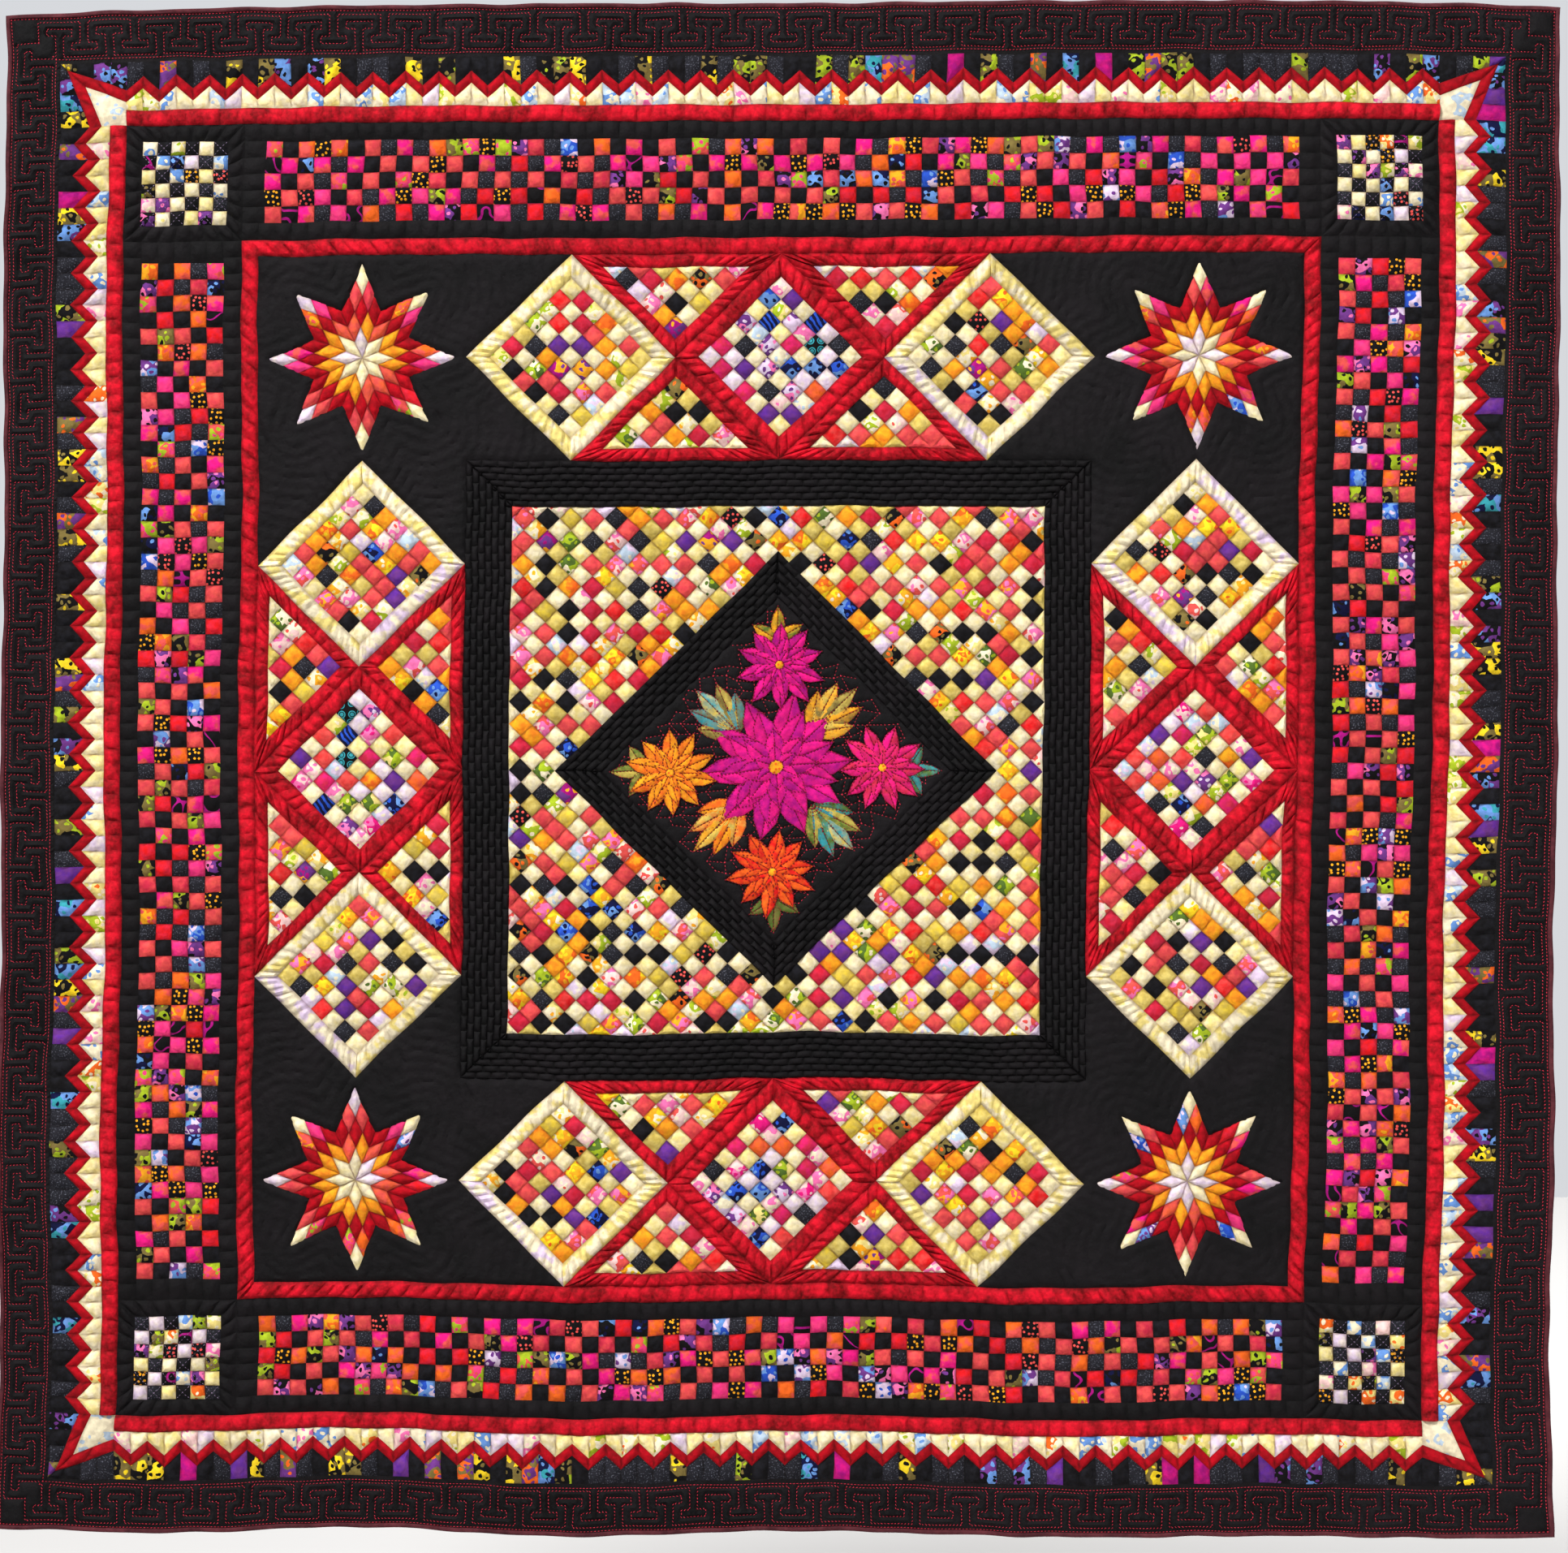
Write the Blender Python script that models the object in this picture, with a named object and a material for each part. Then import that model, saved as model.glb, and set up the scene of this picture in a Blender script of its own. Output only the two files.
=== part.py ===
"""A hung medallion quilt, 1.8 m square, modelled in metres.

The quilt is drawn flat, in (u, v) with the origin at its middle, as the pieces that a maker cuts
and sews together. Each piece is a padded solid. hang() then gives every point its place on the
quilt as it hangs: x to the right, z up, the front towards -y, and the origin at the middle of
the top edge, where it is held.
"""

import math

import bmesh
import bpy
from mathutils import Vector
from mathutils.geometry import delaunay_2d_cdt

# The cut of the quilt, in metres. Each "reach" is a distance from the quilt's middle.
SQUARE = 0.01905
CELL = 9 * SQUARE * math.sqrt(2)
MEDALLION_REACH = 1.5 * CELL
RING_REACH = 2.5 * CELL
SASH_REACH = RING_REACH + SQUARE
FIELD_REACH = 40 * SQUARE
RED_REACH = 41 * SQUARE
PIECED_REACH = 44 * SQUARE
EDGE_REACH = 47.25 * SQUARE

# The long checkerboards lie in the middle of the black field.
LONG_CHECK_ROWS = 5
LONG_CHECK_COLUMNS = 63
LONG_CHECK_HALF = LONG_CHECK_COLUMNS * SQUARE / 2
FIELD_MARGIN = (FIELD_REACH - SASH_REACH - LONG_CHECK_ROWS * SQUARE) / 2

# The pointed border, measured outwards from the red border.
TEETH = 40
VALLEY = 0.5 * SQUARE
TIP = 1.4 * SQUARE
ZIGZAG = 0.75 * SQUARE
KITE_TIP_REACH = 42.5 * SQUARE
ZIGZAG_TIP_REACH = 43.6 * SQUARE

# The medallion: a black frame, a ring of checks, a black diamond band and a flowered diamond.
FRAME_INNER = 23 * SQUARE / math.sqrt(2)
BAND_OUTER = 9.5 * SQUARE
BAND_INNER = 7.5 * SQUARE

# The padding. A seam is stitched down, and the cloth between seams stands up from it.
SEAM = 0.0020
PUFF = 0.0034
LOW_PUFF = 0.0016
BACK = 0.0008
SHOULDER = 0.0065
GAP = 0.0003
LONGEST_EDGE = 0.12
LATTICE = 0.1

# The binding is folded over the raw edge.
BINDING_WIDTH = 0.008
BINDING_CLOTH = 0.0011
BINDING_GAP = 0.00045
BORDER_REACH = EDGE_REACH - BINDING_CLOTH - GAP

# How it hangs: a little askew, narrower at the foot, with soft folds that deepen downwards.
HEIGHT_SHARE = 0.979
TOP_ARCH = 0.010
RIGHT_DROP = 0.006
LEAN = 0.019
FOOT_NARROWING = 0.010
RIGHT_FLARE = 0.016
FOLD_DEPTH = 0.011
FOLD_LENGTH = 0.66
RIPPLE_DEPTH = 0.005
RIPPLE_LENGTH = 0.39
EDGE_WAVE_DEPTH = 0.006
EDGE_WAVE_LENGTH = 0.42
SEAM_WAVE = 0.0025
SEAM_WAVE_LENGTH = 0.47

SIDES = ("top", "left", "bottom", "right")
CORNERS = ("top_right", "top_left", "bottom_left", "bottom_right")

# Each cloth's colour and roughness.
CLOTHS = {
    "black_cotton": ((0.012, 0.011, 0.012), 0.9),
    "red_cotton": ((0.45, 0.008, 0.02), 0.85),
    "cream_cotton": ((0.82, 0.74, 0.50), 0.85),
    "bright_checks": ((0.75, 0.42, 0.28), 0.85),
    "dark_checks": ((0.32, 0.05, 0.07), 0.85),
    "dark_strips": ((0.05, 0.035, 0.05), 0.85),
    "flowered_cotton": ((0.60, 0.03, 0.22), 0.85),
}

# Each padding as (distance in from the seam, height of the front) pairs.
HIGH = SEAM + PUFF
PADDINGS = {
    "low": [(0, SEAM + LOW_PUFF)],
    "puffed": [(0, SEAM), (SHOULDER, HIGH)],
    "edge": [(0, SEAM), (2 * SHOULDER, HIGH)],
    "framed": [(0, SEAM), (0.35 * SQUARE, HIGH), (SQUARE, SEAM), (1.35 * SQUARE, HIGH)],
    "framed_narrow": [(0, SEAM), (0.35 * SQUARE, HIGH), (0.8 * SQUARE, SEAM), (1.15 * SQUARE, HIGH)],
}


def hang(u, v, height):
    """The place of a point of the flat quilt once it hangs. height is towards the front."""
    across = u / EDGE_REACH
    fallen = (EDGE_REACH - v) / (2 * EDGE_REACH)
    side_wave = SEAM_WAVE * math.sin(2 * math.pi * v / SEAM_WAVE_LENGTH + 0.6)
    flare = RIGHT_FLARE * fallen * max(0, across) ** 12
    x = u * (1 - FOOT_NARROWING * fallen) - LEAN * fallen + flare + side_wave * across
    arch = TOP_ARCH * (1 - across ** 6) * (1 - fallen) ** 2
    droop = SEAM_WAVE * math.sin(2 * math.pi * u / SEAM_WAVE_LENGTH + 1.1) * fallen
    z = v * (HEIGHT_SHARE + RIGHT_DROP * across) + arch + droop
    looseness = 0.25 + 0.75 * fallen * fallen
    folds = FOLD_DEPTH * math.sin(2 * math.pi * u / FOLD_LENGTH + 0.9 + 0.5 * v)
    ripples = RIPPLE_DEPTH * math.sin(2 * math.pi * (u + 0.35 * v) / RIPPLE_LENGTH + 2.2)
    edge_wave = EDGE_WAVE_DEPTH * math.sin(2 * math.pi * v / EDGE_WAVE_LENGTH) * across ** 4
    y = (folds + ripples) * looseness + edge_wave
    return Vector((x, y - height, z - HEIGHT_SHARE * EDGE_REACH - TOP_ARCH))


def turned(points, quarters):
    """Points turned about the quilt's middle by quarter turns, from the top towards the left."""
    for _ in range(quarters):
        points = [(-v, u) for u, v in points]
    return points


def all_round(path):
    """A closed outline from the path of its top side, which runs from right to left."""
    return [point for quarters in range(4) for point in turned(path, quarters)]


def on_point(points):
    """Points turned by an eighth of a turn, so that a square stands on its corner."""
    half = math.sqrt(0.5)
    return [((u - v) * half, (u + v) * half) for u, v in points]


def square_outline(reach):
    return all_round([(reach, reach)])


def rectangle(left, right, low, high):
    return [(left, low), (right, low), (right, high), (left, high)]


def toothed_outline(valley, corner_reach):
    """A square outline with pointed teeth along each side and a longer point at each corner."""
    step = FIELD_REACH / TEETH
    rise = TIP - VALLEY
    teeth = [(FIELD_REACH - k * step, valley + rise * (k % 2)) for k in range(2 * TEETH + 1)]
    return all_round([(corner_reach, corner_reach)] + teeth)


def point_border_hole():
    """Inside the cream border: the red border's outer edges, with a notch at each corner."""
    return all_round([(FIELD_REACH, FIELD_REACH), (FIELD_REACH, RED_REACH), (-FIELD_REACH, RED_REACH)])


def long_check_outline():
    low, high = SASH_REACH + FIELD_MARGIN, FIELD_REACH - FIELD_MARGIN
    return rectangle(-LONG_CHECK_HALF, LONG_CHECK_HALF, low, high)


def diamond(u):
    """A block on point, in the top side of the ring."""
    middle, half = 2 * CELL, CELL / 2
    return [(u, middle - half), (u + half, middle), (u, middle + half), (u - half, middle)]


def outer_triangle(u):
    return [(u, 2 * CELL), (u + CELL / 2, RING_REACH), (u - CELL / 2, RING_REACH)]


def inner_triangle(u):
    return [(u, 2 * CELL), (u - CELL / 2, MEDALLION_REACH), (u + CELL / 2, MEDALLION_REACH)]


def ring_corner():
    """The ring's top right corner, which runs into the blocks beside it with pointed ears."""
    low, middle, inner, outer = CELL, 2 * CELL, MEDALLION_REACH, RING_REACH
    return [
        (inner, inner), (inner, low), (middle, inner), (outer, low),
        (outer, outer), (low, outer), (inner, middle), (low, inner),
    ]


def divided(outline):
    """The outline with its long edges divided equally."""
    points = []
    for (u0, v0), (u1, v1) in zip(outline, outline[1:] + outline[:1]):
        parts = max(1, math.ceil(math.hypot(u1 - u0, v1 - v0) / LONGEST_EDGE))
        points += [(u0 + (u1 - u0) * k / parts, v0 + (v1 - v0) * k / parts) for k in range(parts)]
    return points


def matched(outline, seam_points):
    """The outline with each neighbour's point that lies on one of its edges added to that edge."""
    close = 1e-6
    points = []
    for (u0, v0), (u1, v1) in zip(outline, outline[1:] + outline[:1]):
        du, dv = u1 - u0, v1 - v0
        length = math.hypot(du, dv)
        found = [0.0]
        for u, v in seam_points:
            along = ((u - u0) * du + (v - v0) * dv) / length
            aside = abs((u - u0) * dv - (v - v0) * du) / length
            if aside < close and close < along < length - close:
                found.append(along)
        found = sorted(found)
        kept = [a for i, a in enumerate(found) if i == 0 or a - found[i - 1] > close]
        points += [(u0 + du * a / length, v0 + dv * a / length) for a in kept]
    return points


def inset(outline, distance):
    """The outline moved inwards by that distance, corner by corner."""
    moved = []
    count = len(outline)
    for i in range(count):
        here = Vector(outline[i])
        before = (here - Vector(outline[i - 1])).normalized()
        after = (Vector(outline[(i + 1) % count]) - here).normalized()
        inward = Vector((-before.y - after.y, before.x + after.x))
        moved.append(tuple(here + inward * (distance / (1 + before.dot(after)))))
    return moved


def holds(outline, point):
    """Whether the point is inside the outline."""
    u, v = point
    inside = False
    for (u0, v0), (u1, v1) in zip(outline, outline[1:] + outline[:1]):
        if (v0 > v) != (v1 > v) and u < u0 + (u1 - u0) * (v - v0) / (v1 - v0):
            inside = not inside
    return inside


def lattice_inside(outline, hole):
    """Points on a square lattice between the outlines, so that a wide piece follows the folds."""
    us, vs = [p[0] for p in outline], [p[1] for p in outline]
    columns = range(math.ceil(min(us) / LATTICE), math.floor(max(us) / LATTICE) + 1)
    rows = range(math.ceil(min(vs) / LATTICE), math.floor(max(vs) / LATTICE) + 1)
    points = [(i * LATTICE, j * LATTICE) for i in columns for j in rows]
    return [p for p in points if holds(outline, p) and not (hole and holds(hole, p))]


def filled(loops, extra, hole):
    """Triangles between the loops, as points, the place of each in the input, and faces."""
    points, edges = [], []
    for loop in loops:
        first = len(points)
        points += loop
        edges += [(first + i, first + (i + 1) % len(loop)) for i in range(len(loop))]
    coords = [Vector(p) for p in points + extra]
    made, _, faces, sources, _, _ = delaunay_2d_cdt(coords, edges, [], 1, 1e-7)
    if hole:
        middles = [sum((made[i] for i in f), Vector((0, 0))) / 3 for f in faces]
        faces = [f for f, middle in zip(faces, middles) if not holds(hole, middle)]
    return [tuple(p) for p in made], [source[0] for source in sources], faces


def add_padded(mesh, outline, padding, hole, seam_points):
    """Adds one padded solid. The front rises from each seam by the padding, the back is plain."""
    seam_height = padding[0][1]
    rims = [inset(matched(outline, seam_points), GAP / 2)]
    if hole:
        rims.append(inset(matched(hole, seam_points), -GAP / 2))
    loops = list(rims)
    heights = [seam_height] * sum(len(rim) for rim in rims)
    for distance, height in padding[1:]:
        loops.append(inset(outline, distance))
        heights += [height] * len(outline)
        if hole:
            loops.append(inset(hole, -distance))
            heights += [height] * len(hole)
    reach_in = padding[-1][0] + SHOULDER
    extra = lattice_inside(inset(outline, reach_in), inset(hole, -reach_in) if hole else None)
    heights += [padding[-1][1]] * len(extra)
    rim_hole = rims[1] if hole else None
    front, sources, faces = filled(loops, extra, rim_hole)
    tops = [mesh.verts.new(hang(*p, heights[s])) for p, s in zip(front, sources)]
    for face in faces:
        mesh.faces.new([tops[i] for i in face])
    back, _, faces = filled(rims, extra, rim_hole)
    backs = [mesh.verts.new(hang(*p, -BACK)) for p in back]
    for face in faces:
        mesh.faces.new([backs[i] for i in reversed(face)])
    for rim in (rims[0], rims[1][::-1]) if hole else rims:
        upper = [tops[index_of(front, p)] for p in rim]
        lower = [backs[index_of(back, p)] for p in rim]
        for i in range(len(rim)):
            j = (i + 1) % len(rim)
            mesh.faces.new([upper[j], upper[i], lower[i], lower[j]])


def index_of(points, target):
    distances = [math.hypot(p[0] - target[0], p[1] - target[1]) for p in points]
    return min(range(len(points)), key=distances.__getitem__)


def front_of_edge(distance):
    """The key border's height near the raw edge, under the binding."""
    share = (distance - BINDING_CLOTH) / (2 * SHOULDER)
    return SEAM + PUFF * min(1, max(0, share))


def binding_section():
    """The folded strip's section, as (distance in from the edge, height) pairs."""
    fold, near, far = BINDING_CLOTH, BINDING_GAP, BINDING_GAP + BINDING_CLOTH
    front, edge = front_of_edge(BINDING_WIDTH), front_of_edge(BINDING_CLOTH)
    return [
        (BINDING_WIDTH, front + near), (BINDING_WIDTH, front + far), (fold, edge + far),
        (0, SEAM / 2), (fold, -BACK - far), (BINDING_WIDTH, -BACK - far),
        (BINDING_WIDTH, -BACK - near), (fold, -BACK - near), (fold, edge + near),
    ]


def add_binding(mesh):
    """One strip that runs all the way round the raw edge."""
    section = binding_section()
    parts = math.ceil(2 * BORDER_REACH / LONGEST_EDGE)
    rings = []
    for quarters in range(4):
        for k in range(parts):
            reaches = [EDGE_REACH - distance for distance, _ in section]
            along = BORDER_REACH * (1 - 2 * k / parts)
            path = [(along if k else reach, reach) for reach in reaches]
            points = zip(turned(path, quarters), section)
            rings.append([mesh.verts.new(hang(u, v, height)) for (u, v), (_, height) in points])
    for ring, following in zip(rings, rings[1:] + rings[:1]):
        for i in range(len(section)):
            j = (i + 1) % len(section)
            mesh.faces.new([ring[i], following[i], following[j], ring[j]])
    bmesh.ops.recalc_face_normals(mesh, faces=mesh.faces)


def finish_node(name, mesh, cloth):
    bmesh.ops.triangulate(mesh, faces=mesh.faces)
    data = bpy.data.meshes.new(name)
    mesh.to_mesh(data)
    mesh.free()
    data.materials.append(bpy.data.materials[cloth])
    data.shade_smooth()
    data.set_sharp_from_angle(angle=math.radians(35))
    bpy.context.scene.collection.objects.link(bpy.data.objects.new(name, data))


def pieces_all_round():
    """The pieces that run round the quilt or lie in its middle, as name, cloth, padding, outlines."""
    zigzag_outer = toothed_outline(RED_REACH + VALLEY + ZIGZAG, ZIGZAG_TIP_REACH)
    zigzag_inner = toothed_outline(RED_REACH + VALLEY, KITE_TIP_REACH)
    band_outer = on_point(square_outline(BAND_OUTER))
    band_inner = on_point(square_outline(BAND_INNER))
    return [
        ("key_border", "black_cotton", "edge", square_outline(BORDER_REACH), square_outline(PIECED_REACH)),
        ("strip_border", "dark_strips", "low", square_outline(PIECED_REACH), zigzag_outer),
        ("zigzag", "red_cotton", "low", zigzag_outer, zigzag_inner),
        ("point_border", "cream_cotton", "low", zigzag_inner, point_border_hole()),
        ("red_sash", "red_cotton", "puffed", square_outline(SASH_REACH), square_outline(RING_REACH)),
        ("medallion_frame", "black_cotton", "puffed", square_outline(MEDALLION_REACH),
         square_outline(FRAME_INNER)),
        ("medallion_checks", "bright_checks", "puffed", square_outline(FRAME_INNER), band_outer),
        ("medallion_band", "black_cotton", "puffed", band_outer, band_inner),
        ("flower_panel", "flowered_cotton", "puffed", band_inner, None),
    ]


def pieces_by_quarter():
    """The pieces that come once on each side or at each corner."""
    red_bar = rectangle(-FIELD_REACH, FIELD_REACH, FIELD_REACH, RED_REACH)
    field = rectangle(-SASH_REACH, SASH_REACH, SASH_REACH, FIELD_REACH)
    corner_block = rectangle(SASH_REACH, FIELD_REACH, SASH_REACH, FIELD_REACH)
    checks = long_check_outline()
    pieces = []
    for quarters, (side, corner) in enumerate(zip(SIDES, CORNERS)):
        for name, cloth, padding, outline, hole in (
            (f"red_border_{side}", "red_cotton", "puffed", red_bar, None),
            (f"black_field_{side}", "black_cotton", "puffed", field, checks),
            (f"long_checks_{side}", "dark_checks", "puffed", checks, None),
            (f"corner_block_{corner}", "dark_checks", "framed", corner_block, None),
            (f"star_corner_{corner}", "black_cotton", "puffed", ring_corner(), None),
            (f"block_{side}_1", "bright_checks", "framed", diamond(CELL), None),
            (f"block_{side}_2", "dark_checks", "framed", diamond(0), None),
            (f"block_{side}_3", "bright_checks", "framed", diamond(-CELL), None),
            (f"outer_triangle_{side}_1", "dark_checks", "framed_narrow", outer_triangle(CELL / 2), None),
            (f"outer_triangle_{side}_2", "dark_checks", "framed_narrow", outer_triangle(-CELL / 2), None),
            (f"inner_triangle_{side}_1", "dark_checks", "framed_narrow", inner_triangle(CELL / 2), None),
            (f"inner_triangle_{side}_2", "dark_checks", "framed_narrow", inner_triangle(-CELL / 2), None),
        ):
            around = turned(hole, quarters) if hole else None
            pieces.append((name, cloth, padding, turned(outline, quarters), around))
    return pieces


for old in list(bpy.data.objects):
    bpy.data.objects.remove(old)

for cloth_name, (colour, roughness) in CLOTHS.items():
    material = bpy.data.materials.new(cloth_name)
    material.use_nodes = True
    shader = material.node_tree.nodes["Principled BSDF"]
    shader.inputs["Base Color"].default_value = (*colour, 1)
    shader.inputs["Roughness"].default_value = roughness
    shader.inputs["Metallic"].default_value = 0

all_pieces = pieces_all_round() + pieces_by_quarter()
all_outlines = [divided(o) for piece in all_pieces for o in piece[3:] if o]
all_seam_points = {(round(u, 7), round(v, 7)) for outline in all_outlines for u, v in outline}

for node_name, cloth_name, padding_name, cut, cut_hole in all_pieces:
    node_mesh = bmesh.new()
    divided_hole = divided(cut_hole) if cut_hole else None
    add_padded(node_mesh, divided(cut), PADDINGS[padding_name], divided_hole, all_seam_points)
    finish_node(node_name, node_mesh, cloth_name)

binding_mesh = bmesh.new()
add_binding(binding_mesh)
finish_node("binding", binding_mesh, "black_cotton")
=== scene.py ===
import math
import random
from collections import Counter

import bmesh
import bpy
import numpy as np
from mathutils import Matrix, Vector
from mathutils.geometry import delaunay_2d_cdt


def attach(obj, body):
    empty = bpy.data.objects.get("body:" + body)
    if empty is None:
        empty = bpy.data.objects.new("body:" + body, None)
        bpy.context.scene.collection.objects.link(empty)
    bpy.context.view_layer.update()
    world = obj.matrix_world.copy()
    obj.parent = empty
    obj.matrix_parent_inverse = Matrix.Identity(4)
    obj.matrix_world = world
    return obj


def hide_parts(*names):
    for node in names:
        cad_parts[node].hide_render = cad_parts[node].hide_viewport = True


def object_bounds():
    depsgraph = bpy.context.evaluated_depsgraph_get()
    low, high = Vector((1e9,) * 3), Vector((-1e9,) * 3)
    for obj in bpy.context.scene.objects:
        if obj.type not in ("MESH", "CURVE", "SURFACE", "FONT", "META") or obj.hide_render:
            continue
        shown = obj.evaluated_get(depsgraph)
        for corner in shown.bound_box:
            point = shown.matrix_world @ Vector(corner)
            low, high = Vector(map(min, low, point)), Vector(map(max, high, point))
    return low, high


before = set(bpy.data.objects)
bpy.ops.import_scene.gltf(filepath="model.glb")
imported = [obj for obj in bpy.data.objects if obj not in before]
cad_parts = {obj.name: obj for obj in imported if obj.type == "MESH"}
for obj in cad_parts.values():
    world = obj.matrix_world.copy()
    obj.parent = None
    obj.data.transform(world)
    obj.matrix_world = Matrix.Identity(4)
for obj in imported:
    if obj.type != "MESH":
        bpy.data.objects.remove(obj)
cad_low, cad_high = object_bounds()

# The blocks on point: twelve blocks of small squares that stand on a corner, each in a frame of
# four strips. All is dyed or printed cotton, pieced by machine over thin wadding, and then
# quilted along the seams, so each square stands up as a small pillow.
SQUARE = 0.01905
CELL = 9 * SQUARE * math.sqrt(2)
EDGE_REACH = 47.25 * SQUARE
SEAM = 0.0020
PUFF = 0.0034
BACK = 0.0008
SIDE_NAMES = ("top", "left", "bottom", "right")
CORNER_NAMES = ("top_right", "top_left", "bottom_left", "bottom_right")

HEIGHT_SHARE = 0.979
TOP_ARCH = 0.010
RIGHT_DROP = 0.006
LEAN = 0.019
FOOT_NARROWING = 0.010
RIGHT_FLARE = 0.016
FOLD_DEPTH = 0.011
FOLD_LENGTH = 0.66
RIPPLE_DEPTH = 0.005
RIPPLE_LENGTH = 0.39
EDGE_WAVE_DEPTH = 0.006
EDGE_WAVE_LENGTH = 0.42
SEAM_WAVE = 0.0025
SEAM_WAVE_LENGTH = 0.47
PIECING_SLIP = 0.0005
PIECING_SLIP_LENGTHS = (0.083, 0.131)
PUCKER = 0.0008
PUCKER_LENGTHS = (0.057, 0.091)


def hang(flat):
    """Places rows of (u, v, height) on the flat quilt where they are once it hangs."""
    u, v, height = flat[:, 0], flat[:, 1], flat[:, 2]
    turn = 2 * math.pi
    across = u / EDGE_REACH
    fallen = (EDGE_REACH - v) / (2 * EDGE_REACH)
    side_wave = SEAM_WAVE * np.sin(turn * v / SEAM_WAVE_LENGTH + 0.6)
    flare = RIGHT_FLARE * fallen * np.maximum(0, across) ** 12
    x = u * (1 - FOOT_NARROWING * fallen) - LEAN * fallen + flare + side_wave * across
    arch = TOP_ARCH * (1 - across ** 6) * (1 - fallen) ** 2
    droop = SEAM_WAVE * np.sin(turn * u / SEAM_WAVE_LENGTH + 1.1) * fallen
    z = v * (HEIGHT_SHARE + RIGHT_DROP * across) + arch + droop
    looseness = 0.25 + 0.75 * fallen * fallen
    folds = FOLD_DEPTH * np.sin(turn * u / FOLD_LENGTH + 0.9 + 0.5 * v)
    ripples = RIPPLE_DEPTH * np.sin(turn * (u + 0.35 * v) / RIPPLE_LENGTH + 2.2)
    edge_wave = EDGE_WAVE_DEPTH * np.sin(turn * v / EDGE_WAVE_LENGTH) * across ** 4
    y = (folds + ripples) * looseness + edge_wave
    slip_near, slip_far = PIECING_SLIP_LENGTHS
    x = x + PIECING_SLIP * (np.sin(turn * v / slip_near + 7 * u) + np.sin(turn * (v - u) / slip_far))
    z = z + PIECING_SLIP * (np.sin(turn * u / slip_near + 5 * v) + np.sin(turn * (u + v) / slip_far + 2))
    pucker_near, pucker_far = PUCKER_LENGTHS
    y = y + PUCKER * np.sin(turn * u / pucker_near + 3 * v) * np.sin(turn * v / pucker_far + 4 * u)
    return np.column_stack((x, y - height, z - HEIGHT_SHARE * EDGE_REACH - TOP_ARCH))


def turned(points, quarters):
    """Points turned about the quilt's middle by quarter turns, from the top towards the left."""
    for _ in range(quarters):
        points = [(-v, u) for u, v in points]
    return points


def part_way(start, end, share):
    """The point at that share of the way between two points."""
    return (start[0] + (end[0] - start[0]) * share, start[1] + (end[1] - start[1]) * share)


def closed_lines(outline):
    """The lines round an outline, each a pair of corners."""
    return list(zip(outline, outline[1:] + outline[:1]))


def anticlockwise(corners):
    area = sum(u0 * v1 - u1 * v0 for (u0, v0), (u1, v1) in closed_lines(list(corners)))
    return list(corners) if area > 0 else list(corners)[::-1]


def feed(tree, socket, value):
    """Gives an input a value, or links it to another node's output."""
    if isinstance(value, bpy.types.NodeSocket):
        tree.links.new(value, socket)
    else:
        socket.default_value = value


def add_node(tree, kind, wiring, **settings):
    """A node with its settings, and a value or another node's output for each input named."""
    node = tree.nodes.new(kind)
    for key, value in settings.items():
        setattr(node, key, value)
    for name, value in wiring.items():
        feed(tree, next(s for s in node.inputs if s.name == name and s.enabled), value)
    return node


def add_output(tree, kind, wiring, **settings):
    """The first output in use of a new node."""
    return next(s for s in add_node(tree, kind, wiring, **settings).outputs if s.enabled)


def calculate(tree, operation, *values, kind="ShaderNodeMath"):
    """A Math node's output, with each value a number or another node's output."""
    node = tree.nodes.new(kind)
    node.operation = operation
    for socket, value in zip(node.inputs, values):
        feed(tree, socket, value)
    return node.outputs[0]


def new_tree(name, kind, inputs, output):
    """An empty node group, with its inputs as (name, socket kind) pairs and one output."""
    tree = bpy.data.node_groups.new(name, kind)
    for socket_name, socket_kind in inputs:
        tree.interface.new_socket(socket_name, in_out="INPUT", socket_type="NodeSocket" + socket_kind)
    tree.interface.new_socket(output[0], in_out="OUTPUT", socket_type="NodeSocket" + output[1])
    return tree, tree.nodes.new("NodeGroupInput").outputs, tree.nodes.new("NodeGroupOutput").inputs


def noise(tree, vector, per_metre, detail=2.0):
    """Soft random values about one half, with that many blotches to the metre."""
    return add_output(tree, "ShaderNodeTexNoise", {"Vector": vector, "Scale": per_metre, "Detail": detail})


def noise_mask(tree, vector, per_metre, low, high, detail=2.0):
    """Soft random blotches that run from 0 to 1."""
    return add_output(tree, "ShaderNodeMapRange", {
        "Value": noise(tree, vector, per_metre, detail), "From Min": low, "From Max": high,
    }, interpolation_type="SMOOTHSTEP")


def mixed(tree, share, first, second, blend="MIX"):
    wiring = {"Factor": share, "A": first, "B": second}
    return add_output(tree, "ShaderNodeMix", wiring, data_type="RGBA", blend_type=blend)


def weave_group():
    """Plain woven cotton: its crossing threads, and the small creases pressed into the cloth."""
    tree, ins, outs = new_tree("plain weave", "ShaderNodeTree",
                               [("Vector", "Vector"), ("Thread Spacing", "Float")], ("Height", "Float"))
    place = add_node(tree, "ShaderNodeSeparateXYZ", {"Vector": ins["Vector"]}).outputs
    turns = calculate(tree, "DIVIDE", 2 * math.pi, ins["Thread Spacing"])
    warp = calculate(tree, "SINE", calculate(tree, "MULTIPLY", place["X"], turns))
    weft = calculate(tree, "SINE", calculate(tree, "MULTIPLY", place["Z"], turns))
    threads = calculate(tree, "MULTIPLY", calculate(tree, "MULTIPLY", warp, weft), 0.05)
    creases = noise_mask(tree, ins["Vector"], 75, 0.25, 0.75, 3.0)
    tree.links.new(calculate(tree, "ADD", threads, creases), outs["Height"])
    return tree


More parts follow.
